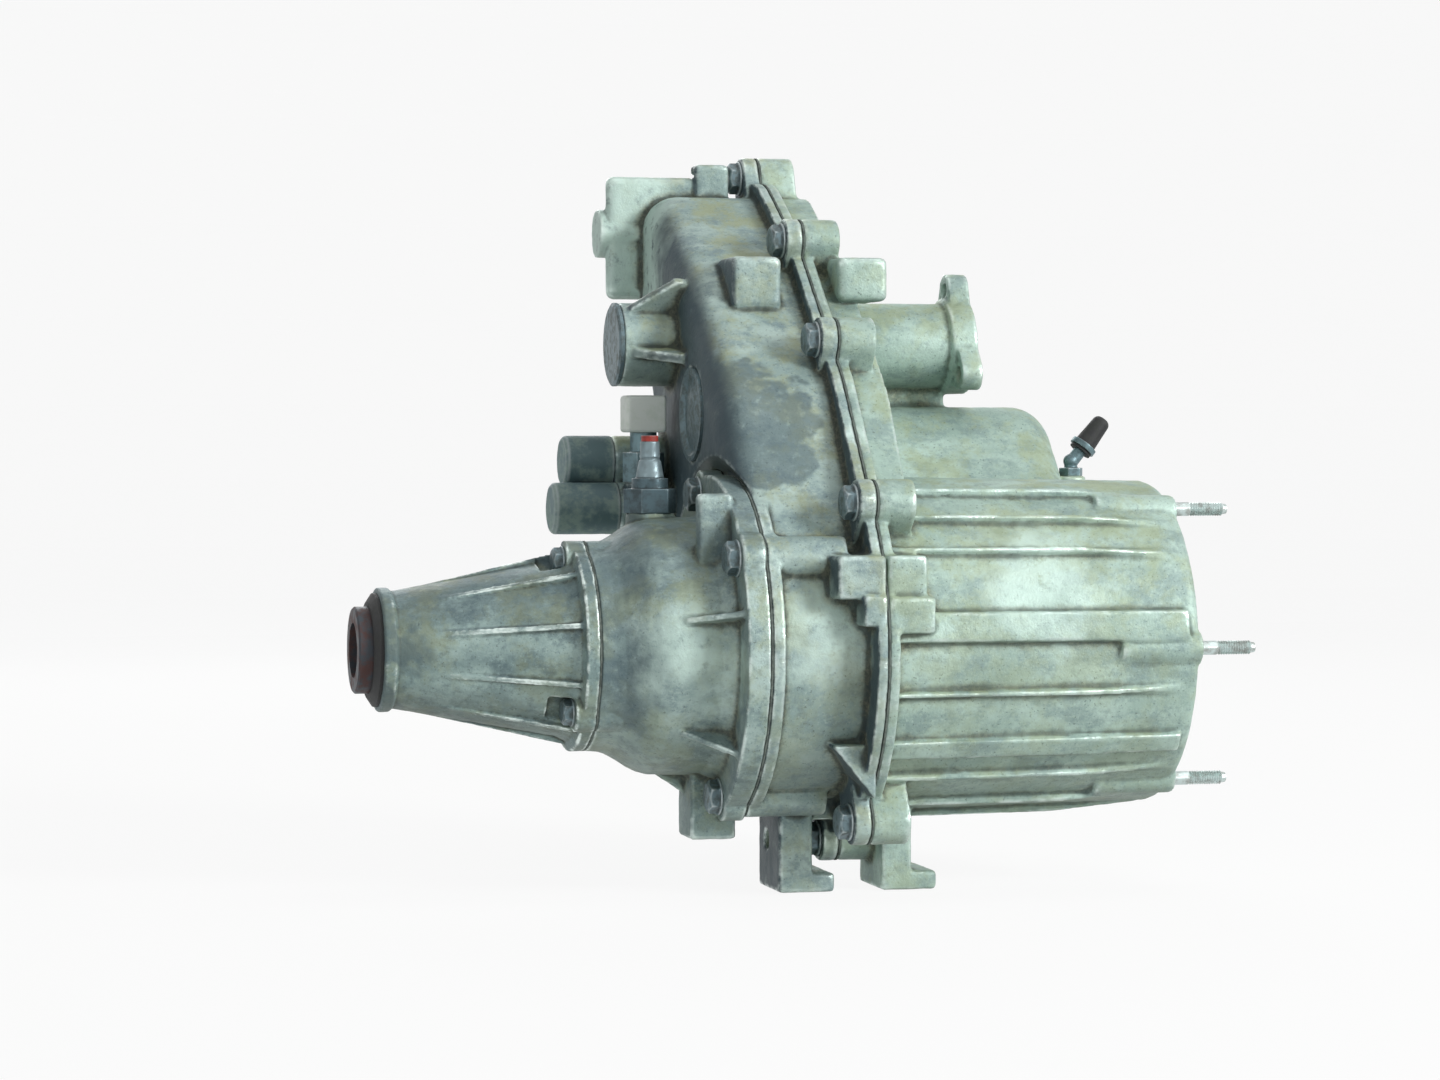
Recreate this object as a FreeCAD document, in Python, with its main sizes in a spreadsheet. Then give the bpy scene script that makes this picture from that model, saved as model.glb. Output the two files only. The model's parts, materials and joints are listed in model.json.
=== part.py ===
import FreeCAD, Part
import math
import os
import re

import Sketcher

# Two-speed, part-time four-wheel-drive transfer case.
# Frame: X runs along the shafts toward the gearbox, Y toward the far side, Z up.
# The origin is the middle of the gearbox face. A "station" is a distance from
# that face toward the rear output, so a station is a minus X.

V = FreeCAD.Vector
DOC = FreeCAD.newDocument("transfer_case")
SHEET = DOC.addObject("Spreadsheet::Sheet", "sizes")

SIZES = {
    # stations of the castings
    "joint_at": 188,
    "case_end_at": 262,
    "bell_joint_at": 252,
    "tail_joint_at": 340,
    "tail_end_at": 457,
    "chamber_end_at": 160,
    "box_end_at": 26,
    "neck_end_at": 77,
    "gasket": 1,
    # walls and fits
    "wall": 6.5,
    "end_round": 20,
    "slide_gap": 0.05,
    "spline_gap": 0.28,
    "hole_gap": 0.4,
    # casting radii
    "drum_rad": 97,
    "drum_end_rad": 94,
    "drum_cavity_rad": 88,
    "waist_rad": 90,
    "bell_flange_rad": 98,
    "bell_rad": 73,
    "tail_flange_rad": 59,
    "tail_rad": 50,
    "tail_end_rad": 33,
    "flange_lip": 9,
    "flange_thick": 6,
    # shaft lines, as Y and Z
    "front_y": 110,
    "front_z": 175,
    "idler_y": 47.3,
    "idler_z": 92.3,
    "mode_y": 112,
    "mode_z": 77,
    "range_y": 128,
    "range_z": 105,
    "plug_y": 52,
    "plug_z": 133,
    # studs and bolts
    "stud_circle_rad": 90,
    "stud_rad": 4,
    "stud_out": 33,
    "stud_in": 28,
    "stud_root_rad": 4.3,
    "bolt_rad": 5,
    "bolt_head_across": 17,
    "bolt_head_high": 6.5,
    "bolt_boss_rad": 13,
    "bell_bolt_circle_rad": 89,
    "tail_bolt_circle_rad": 51,
    "tail_bolt_rad": 4,
    "tail_bolt_head_across": 13,
    # planetary range set
    "range_module": 2,
    "sun_teeth": 30,
    "planet_teeth": 18,
    "ring_teeth": 66,
    "ring_rad": 76,
    "planet_set_at": 69,
    "planet_wide": 22,
    "sun_wide": 26,
    "planet_pin_rad": 6,
    # transfer gears
    "drive_module": 2.5,
    "drive_teeth": 33,
    "idler_teeth": 50,
    "drive_near_at": 172,
    "drive_far_at": 198,
    "backlash": 0.35,
    # clutch teeth shared by the range clutch and the mode clutch
    "dog_count": 18,
    "dog_root_rad": 27.8,
    "dog_tip_rad": 29.7,
    "dog_wide": 4.6,
    "dog_bore_rad": 30,
    "dog_inner_tip_rad": 28,
    # splines between main shaft and the pieces on it
    "spline_count": 18,
    "spline_root_rad": 16.3,
    "spline_tip_rad": 17.8,
    "spline_wide": 2.7,
    "spline_bore_rad": 18,
    "spline_inner_tip_rad": 16.5,
    # input shaft
    "input_rad": 20,
    "input_bore_rad": 15.5,
    "input_bore_deep": 42,
    "input_end_at": 2,
    "pilot_rad": 8,
    "cup_rad": 34,
    "cup_near_at": 86,
    "cup_far_at": 99,
    # main shaft
    "journal_rad": 18.6,
    "mid_bearing_bore": 20,
    "mid_bearing_rad": 34,
    "mid_bearing_at": 247,
    "bearing_wide": 15,
    "rear_bearing_bore": 22.5,
    "rear_bearing_rad": 37.5,
    "rear_bearing_at": 323,
    "input_bearing_at": 16,
    "sleeve_rad": 24.5,
    "sleeve_bore_rad": 15.5,
    "sleeve_end_at": 470,
    "sleeve_bore_deep": 42,
    # front output shaft
    "front_rad": 12,
    "front_bearing_rad": 21,
    "front_bearing_wide": 10,
    "front_left_bearing_at": 274,
    "front_right_bearing_at": 122,
    "front_end_rad": 17.5,
    "front_bore_rad": 12,
    "front_bore_deep": 30,
    "front_end_at": 84,
    "neck_rad": 26,
    "neck_bore_rad": 22.5,
    "ear_circle_rad": 34,
    "ear_hole_rad": 4.5,
    # shift rails and forks
    "rail_rad": 7,
    "tube_rad": 15.5,
    "tube_end_at": 295,
    "spigot_rad": 13,
    "spigot_end_at": 312,
    "cap_rad": 15.5,
    "mode_cap_at": 335,
    "range_cap_at": 325,
    "range_groove_at": 130,
    "range_groove_wide": 7.5,
    "mode_groove_at": 207,
    "mode_groove_wide": 6.5,
    "fork_gap": 0.3,
    "idler_shaft_rad": 9,
    # rear output end
    "bushing_rad": 28,
    "tail_bore_rad": 30,
    # outside fittings
    "plug_rad": 27.5,
    "sensor_at": 297,
    "sensor_y": 10,
    "speed_ring_rad": 50,
    "oil_plug_at": 236,
    "oil_plug_seat_rad": 99,
    "oil_plug_boss_rad": 14,
    "oil_plug_washer_rad": 12.5,
    "switch_at": 281,
    "switch_y": 98,
    "foot_low": 141,
}

MAIN_BOLTS = [
    # Y, Z and the point of the casting that the lug runs toward
    (-63, -97, -30, -40),
    (-73, 83, -30, 40),
    (8, 176, 45, 125),
    (87, 237, 110, 200),
    (193, 281, 178, 240),
    (226, 228, 185, 228),
    (185, 141, 140, 150),
    (151, 74, 110, 90),
    (116, 8, 70, 20),
    (74, -85, 35, -40),
    (6, -113, 3, -60),
]
BELL_BOLT_ANGLES = [36, -71, -135, 168, 104]
TAIL_BOLT_ANGLES = [78, -42, -162]
THIN_RIBS = [64, 48.6, 34.6, -14, -47, -64, -82, -100, -118, -136, -154, -172, 168]
EAR_ANGLES = [90, -30, 210]
FILL_ANGLE, DRAIN_ANGLE = -165, -118


def write_sheet():
    """Fill the sheet: one alias and one plain number on each row."""
    for row, (alias, value) in enumerate(SIZES.items(), 1):
        SHEET.set(f"A{row}", alias)
        SHEET.set(f"B{row}", str(value))
        SHEET.setAlias(f"B{row}", alias)
    DOC.recompute()


def mm(alias):
    """The number that the sheet holds for an alias."""
    return float(SHEET.get(alias))


def bound(text):
    """The same expression with each alias pointing into the sheet."""
    return re.sub(r"[a-z][a-z0-9_]*", lambda word: "sizes." + word.group(), text)


# ---------------------------------------------------------------- solids

def cyl(radius, near, far, y=0.0, z=0.0):
    """A cylinder along X between two stations."""
    return Part.makeCylinder(radius, far - near, V(-far, y, z), V(1, 0, 0))


def slab(near, far, y0, y1, z0, z1):
    """A box between two stations."""
    return Part.makeBox(far - near, y1 - y0, z1 - z0, V(-far, y0, z0))


def soft_slab(near, far, y0, y1, z0, z1, radius):
    """A box with every edge rounded."""
    block = slab(near, far, y0, y1, z0, z1)
    return block.makeFillet(radius, block.Edges)


def ring(outer, inner, near, far, y=0.0, z=0.0):
    """A plain ring along X between two stations."""
    return cyl(outer, near, far, y, z).cut(cyl(inner, near - 1, far + 1, y, z))


def lathe(outline, y=0.0, z=0.0):
    """A solid turned from (station, radius) points about an X line."""
    points = [V(-station, radius, 0) for station, radius in outline]
    face = Part.Face(Part.makePolygon(points + points[:1]))
    solid = face.revolve(V(0, 0, 0), V(1, 0, 0), 360)
    solid.translate(V(0, y, z))
    return solid


def upright(shape):
    """Stand a section drawn in (Y, Z) with its length along X."""
    shape.Placement = FreeCAD.Placement(V(0, 0, 0), FreeCAD.Rotation(V(1, 1, 1), 120))
    return shape


def section(edges, near, far):
    """Extrude a closed section drawn in (Y, Z) between two stations."""
    face = Part.Face(Part.Wire(edges))
    face.translate(V(0, 0, -far))
    return upright(face.extrude(V(0, 0, far - near)))


def tangent_normal(first, second):
    """Outward normal of the belt line from one circle to the next."""
    dy, dz = second[0] - first[0], second[1] - first[1]
    apart = math.hypot(dy, dz)
    along = (dy / apart, dz / apart)
    lean = (first[2] - second[2]) / apart
    side = math.sqrt(1 - lean * lean)
    return (lean * along[0] + side * along[1], lean * along[1] - side * along[0])


def belt_edges(circles):
    """Lines and arcs of a belt around circles (y, z, r) listed counterclockwise."""
    count = len(circles)
    normals = [tangent_normal(circles[i], circles[(i + 1) % count]) for i in range(count)]

    def on_circle(circle, angle):
        return V(circle[0] + circle[2] * math.cos(angle), circle[1] + circle[2] * math.sin(angle), 0)

    edges = []
    for i, circle in enumerate(circles):
        start = math.atan2(normals[i - 1][1], normals[i - 1][0])
        end = math.atan2(normals[i][1], normals[i][0])
        if end < start:
            end += 2 * math.pi
        arc = Part.Arc(on_circle(circle, start), on_circle(circle, (start + end) / 2), on_circle(circle, end))
        edges.append(arc.toShape())
        follower = circles[(i + 1) % count]
        edges.append(Part.makeLine(on_circle(circle, end), on_circle(follower, end)))
    return edges


def belt(circles, near, far):
    """A solid whose section is a belt around circles."""
    return section(belt_edges(circles), near, far)


def case_circles(grow=0.0):
    """Circles whose belt is the section of the gear chamber."""
    sizes = [(0, 0, 88), (178, 232, 36), (mm("front_y"), mm("front_z"), 52), (47, 95, 74)]
    return [(y, z, radius + grow) for y, z, radius in sizes]


def box_circles(grow=0.0):
    """Circles whose belt is the section of the shift-rail box beside the drum."""
    return [(50, 40, 38 + grow), (108, 100, 38 + grow)]


def near_side(radius, degrees):
    """The (Y, Z) point at an angle from the near side toward the top."""
    angle = math.radians(degrees)
    return (-radius * math.cos(angle), radius * math.sin(angle))


def radial_rib(outline, thick, degrees):
    """A rib drawn as (station, radius) points, standing at an angle from the near side."""
    points = [V(-station, -radius, -thick / 2) for station, radius in outline]
    rib = Part.Face(Part.makePolygon(points + points[:1])).extrude(V(0, 0, thick))
    rib.rotate(V(0, 0, 0), V(1, 0, 0), -degrees)
    return rib


def hex_prism(across, start, direction, high):
    """A hexagonal prism that starts at a point and runs along a direction."""
    corner = across / math.sqrt(3)
    points = [V(corner * math.cos(k * math.pi / 3), corner * math.sin(k * math.pi / 3), 0) for k in range(7)]
    prism = Part.Face(Part.makePolygon(points)).extrude(V(0, 0, high))
    prism.Placement = FreeCAD.Placement(start, FreeCAD.Rotation(V(0, 0, 1), direction))
    return prism


def feature(label, shape):
    """A sub-part whose shape is set directly."""
    part = DOC.addObject("Part::Feature", label)
    part.Label = label
    part.Shape = shape
    return part


def turned(label, left, outline, centre=("0", "0")):
    """A PartDesign body turned from (station, radius) expressions about an X line."""
    body = DOC.addObject("PartDesign::Body", label)
    body.Label = label
    sketch = body.newObject("Sketcher::SketchObject", label + "_profile")
    front = [item for item in body.Origin.OriginFeatures if item.Role == "XY_Plane"][0]
    sketch.AttachmentSupport = [(front, "")]
    sketch.MapMode = "FlatFace"
    rules = [(bound(f"{left} - ({station})"), bound(f"{radius}")) for station, radius in outline]
    spots = [tuple(float(SHEET.evalExpression(rule)) for rule in pair) for pair in rules]
    count = len(spots)
    for i, spot in enumerate(spots):
        after = spots[(i + 1) % count]
        sketch.addGeometry(Part.LineSegment(V(*spot, 0), V(*after, 0)), False)
    for i in range(count):
        sketch.addConstraint(Sketcher.Constraint("Coincident", i, 2, (i + 1) % count, 1))
    for i, (spot, pair) in enumerate(zip(spots, rules)):
        for axis, value, rule in zip((-2, -1), spot, pair):
            if abs(value) < 1e-9:
                sketch.addConstraint(Sketcher.Constraint("PointOnObject", i, 1, axis))
                continue
            kind = "DistanceX" if axis == -2 else "DistanceY"
            index = sketch.addConstraint(Sketcher.Constraint(kind, -1, 1, i, 1, value))
            sketch.setExpression(f"Constraints[{index}]", rule)
    turn = body.newObject("PartDesign::Revolution", label + "_turn")
    turn.Profile = sketch
    turn.ReferenceAxis = (sketch, ["H_Axis"])
    turn.Angle = 360
    body.setExpression("Placement.Base.x", bound(f"-({left})"))
    body.setExpression("Placement.Base.y", bound(centre[0]))
    body.setExpression("Placement.Base.z", bound(centre[1]))
    return body


def turned_ring(label, near, far, outer, inner, centre=("0", "0")):
    """A plain turned ring between two stations."""
    return turned(label, far, [(far, inner), (near, inner), (near, outer), (far, outer)], centre)


# ---------------------------------------------------------------- teeth

def gear_edges(module, teeth, add, deduct, thin, phase):
    """Section of a gear with involute flanks; a tooth is centred on `phase` (radians)."""
    pitch_rad = module * teeth / 2
    base_rad = pitch_rad * math.cos(math.radians(20))
    tip_rad, root_rad = pitch_rad + add, pitch_rad - deduct
    start_rad = max(base_rad, root_rad + 0.1)

    def roll(radius):
        turn = math.sqrt(max((radius / base_rad) ** 2 - 1, 0))
        return turn - math.atan(turn)

    half = math.pi / (2 * teeth) - thin / (2 * pitch_rad) + roll(pitch_rad)

    def spot(radius, angle):
        return V(radius * math.cos(angle), radius * math.sin(angle), 0)

    steps = [start_rad + (tip_rad - start_rad) * k / 4 for k in range(5)]
    edges = []
    for k in range(teeth):
        middle = phase + 2 * math.pi * k / teeth
        after = middle + 2 * math.pi / teeth
        rising = [spot(radius, middle - half + roll(radius)) for radius in steps]
        falling = [spot(radius, middle + half - roll(radius)) for radius in reversed(steps)]
        foot_up = spot(root_rad, middle - half + roll(start_rad))
        foot_down = spot(root_rad, middle + half - roll(start_rad))
        next_foot = spot(root_rad, after - half + roll(start_rad))
        edges.append(Part.makeLine(foot_up, rising[0]))
        edges.append(smooth(rising))
        edges.append(Part.Arc(rising[-1], spot(tip_rad, middle), falling[0]).toShape())
        edges.append(smooth(falling))
        edges.append(Part.makeLine(falling[-1], foot_down))
        edges.append(Part.Arc(foot_down, spot(root_rad, (middle + after) / 2), next_foot).toShape())
    return edges


def smooth(points):
    """A curve through points."""
    curve = Part.BSplineCurve()
    curve.interpolate(points)
    return curve.toShape()


def gear(module, teeth, near, far, phase, y=0.0, z=0.0, add=0.9, deduct=1.2, thin=None):
    """A spur gear along X between two stations."""
    slack = mm("backlash") / 2 if thin is None else thin
    edges = gear_edges(module, int(teeth), add * module, deduct * module, slack, phase)
    solid = section(edges, near, far)
    solid.translate(V(0, y, z))
    return solid


def mesh_phase(phase, radius, teeth, toward, other_radius, other_teeth):
    """Tooth phase of the gear that meshes with a gear of known phase.

    `toward` is the angle from the first centre to the second one.
    """
    pitch = 2 * math.pi / teeth
    offset = (phase - toward) % pitch
    other_pitch = 2 * math.pi / other_teeth
    return toward + math.pi - offset * radius / other_radius + other_pitch / 2


def outer_teeth(root, tip, wide, count, near, far):
    """Straight clutch or spline teeth standing out of a root cylinder."""
    teeth = []
    for k in range(count):
        tooth = slab(near, far, root - 1, tip + 2, -wide / 2, wide / 2)
        tooth.rotate(V(0, 0, 0), V(1, 0, 0), 360 * k / count)
        teeth.append(tooth)
    crown = ring(tip, root - 1, near, far)
    return crown.common(Part.makeCompound(teeth))


def inner_teeth(bore, tip, wide, count, near, far):
    """Straight teeth standing into a bore, half a pitch from the outer ones."""
    teeth = []
    for k in range(count):
        tooth = slab(near, far, tip - 2, bore + 1, -wide / 2, wide / 2)
        tooth.rotate(V(0, 0, 0), V(1, 0, 0), 360 * (k + 0.5) / count)
        teeth.append(tooth)
    crown = ring(bore + 1, tip, near, far)
    return crown.common(Part.makeCompound(teeth))


def dog_ring(near, far):
    """Outer clutch teeth on their own root ring."""
    root = mm("dog_root_rad")
    return outer_teeth(root, mm("dog_tip_rad"), mm("dog_wide"), int(mm("dog_count")), near, far)


def dog_socket(near, far):
    """Inner clutch teeth for a bore of the clutch size."""
    bore, tip = mm("dog_bore_rad"), mm("dog_inner_tip_rad")
    return inner_teeth(bore, tip, mm("dog_wide"), int(mm("dog_count")), near, far)


# ---------------------------------------------------------------- castings

def bolt_lugs(near, far, radius):
    """Webs that carry the case bolts beside the joint."""
    return [belt([(y, z, radius), (ty, tz, radius)], near, far) for y, z, ty, tz in MAIN_BOLTS]


def hull_belt(circles, near, far, soft):
    """A chamber section with its outer end edge rounded."""
    block = belt(circles, near, far)
    rim = [edge for edge in block.Edges if edge.BoundBox.XMax < -far + 0.01]
    return block.makeFillet(soft, rim)


def case_cavity(near, far):
    """The open inside of the gear chamber."""
    return belt(case_circles(-mm("wall")), near, far)


def make_front_case():
    """Middle casting: gear chamber, bearing seat, rail tubes and front-shaft boss."""
    joint = mm("joint_at") + mm("gasket") / 2
    bell_face = mm("bell_joint_at") - mm("gasket") / 2
    end = mm("case_end_at")
    wall = mm("wall")
    b_y, b_z = mm("front_y"), mm("front_z")
    boss_rad = mm("bolt_boss_rad")
    flange_rad = mm("bell_flange_rad")

    shell = hull_belt(case_circles(), joint, end, mm("end_round"))
    recess = [lathe([(bell_face, 0), (bell_face, flange_rad + 1.5), (end + 1, flange_rad + 12), (end + 1, 0)])]
    for angle in BELL_BOLT_ANGLES:
        recess.append(cyl(15, bell_face, end + 1, *near_side(mm("bell_bolt_circle_rad"), angle)))
    shell = shell.cut(Part.makeCompound(recess))
    extras = [
        cyl(mm("waist_rad"), joint, bell_face),
        cyl(flange_rad, bell_face - 7.5, bell_face),
        belt([(0, 0, 109)] + case_circles(mm("flange_lip"))[1:], joint, joint + mm("flange_thick")),
        # boss around the core plug
        cyl(mm("plug_rad") + 5, 240, end, mm("plug_y"), mm("plug_z")),
        # boss of the front-shaft bearing with its three buttress ribs
        cyl(25, end - 3, 295, b_y, b_z),
        # pads of the near side beside the joint
        soft_slab(joint, 216, -104, -70, 30, 54, 1.5),
        soft_slab(joint, 202, -107, -70, 15, 32, 1.5),
        # lug block high on the near side
        soft_slab(208, 238, 50, 90, 195, 226, 4),
        # bracket plate and boss at the top, far side
        soft_slab(226, 284, 186, 196, 205, 281, 4.9),
        soft_slab(207, 229, 183, 199, 262, 289, 3),
        cyl(15, end - 2, 288, 200, 246),
        # underside foot
        soft_slab(209, 229, -24, 24, -mm("foot_low"), -80, 2),
        soft_slab(196, 229, -24, 24, -mm("foot_low"), -130, 2),
        slab(joint, 209, -18, 18, -100, -86),
    ]
    extras += bolt_lugs(joint, joint + 10, boss_rad)
    for angle in BELL_BOLT_ANGLES:
        y, z = near_side(mm("bell_bolt_circle_rad"), angle)
        extras.append(cyl(boss_rad - 1, 205, bell_face, y, z))
    buttress = [(end - 3, 20), (end - 3, 46), (end + 3, 46), (290, 27), (290, 20)]
    for angle in (55, -12, 140):
        rib = radial_rib(buttress, 6, angle)
        rib.translate(V(0, b_y, b_z))
        extras.append(rib)
    # gusset below the window and the far-side wall ribs
    extras.append(Part.Face(Part.makePolygon([
        V(-joint, -58, -52), V(-214, -58, -52), V(-joint, -58, -84), V(-joint, -58, -52),
    ])).extrude(V(0, -26, 0)))
    for z in (60, 95, 130):
        extras.append(slab(joint, end - 8, 90, 136 + (z - 60) * 0.515, z, z + 5))
    for angle in (FILL_ANGLE, DRAIN_ANGLE):
        extras.append(radial_boss(mm("oil_plug_at"), mm("oil_plug_boss_rad"), angle, 82, mm("oil_plug_seat_rad")))
    for y, z in ((mm("mode_y"), mm("mode_z")), (mm("range_y"), mm("range_z"))):
        extras.append(cyl(mm("tube_rad"), end - 16, mm("tube_end_at"), y, z))
        extras.append(cyl(mm("spigot_rad"), end, mm("spigot_end_at"), y, z))
    extras.append(Part.makeCylinder(11, 18.5, V(-mm("switch_at"), mm("switch_y"), 74), V(0, 0, 1)))
    shell = shell.multiFuse(extras)

    hollow = [
        case_cavity(joint - 1, bell_face - wall),
        belt(case_circles(-wall - 6), bell_face - wall - 1, end - 7).cut(cyl(flange_rad + wall + 4, 200, 300)),
    ]
    shell = shell.cut(hollow[0]).cut(hollow[1])
    shell = shell.multiFuse([
        cyl(mm("mid_bearing_rad") + 7, 240, 266),
        cyl(mm("idler_shaft_rad") + 4, 232, bell_face - 1, mm("idler_y"), mm("idler_z")),
    ])
    tools = [
        cyl(mm("mid_bearing_rad"), mm("mid_bearing_at"), 300),
        cyl(30, 200, 280),
        cyl(mm("idler_shaft_rad"), 200, 247, mm("idler_y"), mm("idler_z")),
        cyl(mm("front_bearing_rad"), mm("front_left_bearing_at"), 300, b_y, b_z),
        cyl(16, 240, 290, b_y, b_z),
        cyl(mm("plug_rad"), 250, 270, mm("plug_y"), mm("plug_z")),
    ]
    for y, z in ((mm("mode_y"), mm("mode_z")), (mm("range_y"), mm("range_z"))):
        tools.append(cyl(mm("rail_rad") + mm("slide_gap"), 230, 320, y, z))
    tools.append(Part.makeCylinder(4, 14, V(-mm("switch_at"), mm("switch_y"), 80), V(0, 0, 1)))
    for y, z, _, _ in MAIN_BOLTS:
        tools.append(cyl(mm("bolt_rad") + mm("hole_gap"), 180, 230, y, z))
    for angle in BELL_BOLT_ANGLES:
        y, z = near_side(mm("bell_bolt_circle_rad"), angle)
        tools.append(cyl(mm("bolt_rad"), 226, 260, y, z))
    seat = mm("oil_plug_seat_rad")
    for angle in (FILL_ANGLE, DRAIN_ANGLE):
        tools.append(radial_boss(mm("oil_plug_at"), 8, angle, seat - 39, seat + 1))
        tools.append(radial_boss(mm("oil_plug_at"), mm("oil_plug_washer_rad") + 1, angle, seat, seat + 30))
    for y, z in ((-40, 20), (40, -20), (0, -62), (52, 40)):
        tools.append(cyl(7, 240, 256, y, z))
    return feature("front_case", shell.cut(Part.makeCompound(tools)))


def radial_boss(station, radius, degrees, low, high):
    """A round boss that points outward from the main axis."""
    y, z = near_side(1, degrees)
    return Part.makeCylinder(radius, high - low, V(-station, y * low, z * low), V(0, y, z))


def make_rear_case():
    """Gearbox-side casting: ribbed drum, rail box, chamber half and front neck."""
    joint = mm("joint_at") - mm("gasket") / 2
    inner_end = mm("chamber_end_at")
    b_y, b_z = mm("front_y"), mm("front_z")
    boss_rad = mm("bolt_boss_rad")
    neck_end = mm("neck_end_at")
    drum_rad, end_rad = mm("drum_rad"), mm("drum_end_rad")

    shell = lathe([(0, 0), (0, end_rad - 5), (1.5, end_rad - 1.5), (5, end_rad), (joint, drum_rad), (joint, 0)])
    extras = [
        belt([(0, 0, 109)] + case_circles(mm("flange_lip"))[1:], joint - mm("flange_thick"), joint),
        belt(case_circles(), inner_end, joint),
        rail_box(),
        cyl(mm("neck_rad"), neck_end + 8, inner_end + 1, b_y, b_z),
        # pads of the near side beside the joint
        soft_slab(165, joint, -104, -70, 30, 54, 1.5),
        soft_slab(161, joint, -107, -70, 11, 31, 1.5),
        # lug block high on the near side
        soft_slab(143, 173, 50, 90, 200, 226, 4),
        # underside foot
        soft_slab(150, 168, -24, 24, -mm("foot_low"), -85, 2),
        soft_slab(135, 168, -24, 24, -mm("foot_low"), -130, 2),
        slab(168, joint, -18, 18, -100, -86),
        # boss of the breather
        Part.makeCylinder(9, 66, V(-17, 84, 30), V(0, 0, 1)),
        # web under the neck
        slab(neck_end + 14, inner_end, b_y - 3, b_y + 3, 132, 152),
    ]
    extras += bolt_lugs(joint - 22, joint, boss_rad)
    extras += neck_flange()
    profile = [(joint, 85), (joint, 101), (62, 99.5), (12, 94.8), (4, 93), (4, 85)]
    extras += [radial_rib(profile, 3, angle) for angle in THIN_RIBS]
    wide = [(joint, 85), (joint, 101.5), (8, 98), (8, 85)]
    extras += [radial_rib(wide, 17, 8), radial_rib(wide, 12, -34)]
    for k in range(6):
        y, z = near_side(mm("stud_circle_rad") - 2, 60 * k)
        extras.append(cyl(10, 0, 48, y, z))
    shell = shell.multiFuse(extras)

    shell = shell.cut(cyl(mm("drum_cavity_rad"), 14, joint + 1))
    shell = shell.cut(case_cavity(inner_end + 7, joint + 1))
    shell = shell.cut(belt(box_circles(-5), mm("box_end_at") + 16, joint + 1))
    bearing_rad = mm("mid_bearing_rad")
    shell = shell.multiFuse([
        cyl(bearing_rad + 8, 10, 33),
        ring(90, mm("ring_rad"), 50, 87),
        cyl(12, 38, 68, mm("range_y"), mm("range_z")),
        cyl(mm("idler_shaft_rad") + 4, 152, 170, mm("idler_y"), mm("idler_z")),
    ])
    tools = [
        cyl(bearing_rad, mm("input_bearing_at"), 60),
        cyl(30, -1, 20),
        cyl(mm("rail_rad") + mm("slide_gap"), 46, 70, mm("range_y"), mm("range_z")),
        cyl(mm("idler_shaft_rad"), 158, 180, mm("idler_y"), mm("idler_z")),
        cyl(mm("neck_bore_rad"), neck_end - 1, 120, b_y, b_z),
        cyl(mm("front_bearing_rad"), 119, 132, b_y, b_z),
        cyl(16, 131, 170, b_y, b_z),
        Part.makeCylinder(4, 40, V(-17, 84, 62), V(0, 0, 1)),
    ]
    for y, z, _, _ in MAIN_BOLTS:
        tools.append(cyl(mm("bolt_rad"), 168, 190, y, z))
    for k in range(6):
        y, z = near_side(mm("stud_circle_rad"), 60 * k)
        tools.append(cyl(mm("stud_root_rad"), -1, mm("stud_in"), y, z))
    for angle in EAR_ANGLES:
        y, z = near_side(mm("ear_circle_rad"), angle)
        tools.append(cyl(mm("ear_hole_rad"), neck_end - 1, neck_end + 30, b_y + y, b_z + z))
    return feature("rear_case", shell.cut(Part.makeCompound(tools)))


def rail_box():
    """Rounded box beside the drum that holds the range rail."""
    end = mm("box_end_at")
    box = belt(box_circles(), end, mm("chamber_end_at") + 1)
    rim = [edge for edge in box.Edges if edge.BoundBox.XMin > -end - 0.01]
    return box.makeFillet(24, rim)


def neck_flange():
    """Three-eared flange at the end of the front neck."""
    near = mm("neck_end_at")
    y, z = mm("front_y"), mm("front_z")
    pieces = [cyl(29, near, near + 16, y, z)]
    for angle in EAR_ANGLES:
        dy, dz = near_side(mm("ear_circle_rad"), angle)
        pieces.append(belt([(y + dy, z + dz, 10), (y, z, 22)], near, near + 13))
    return pieces


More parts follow.
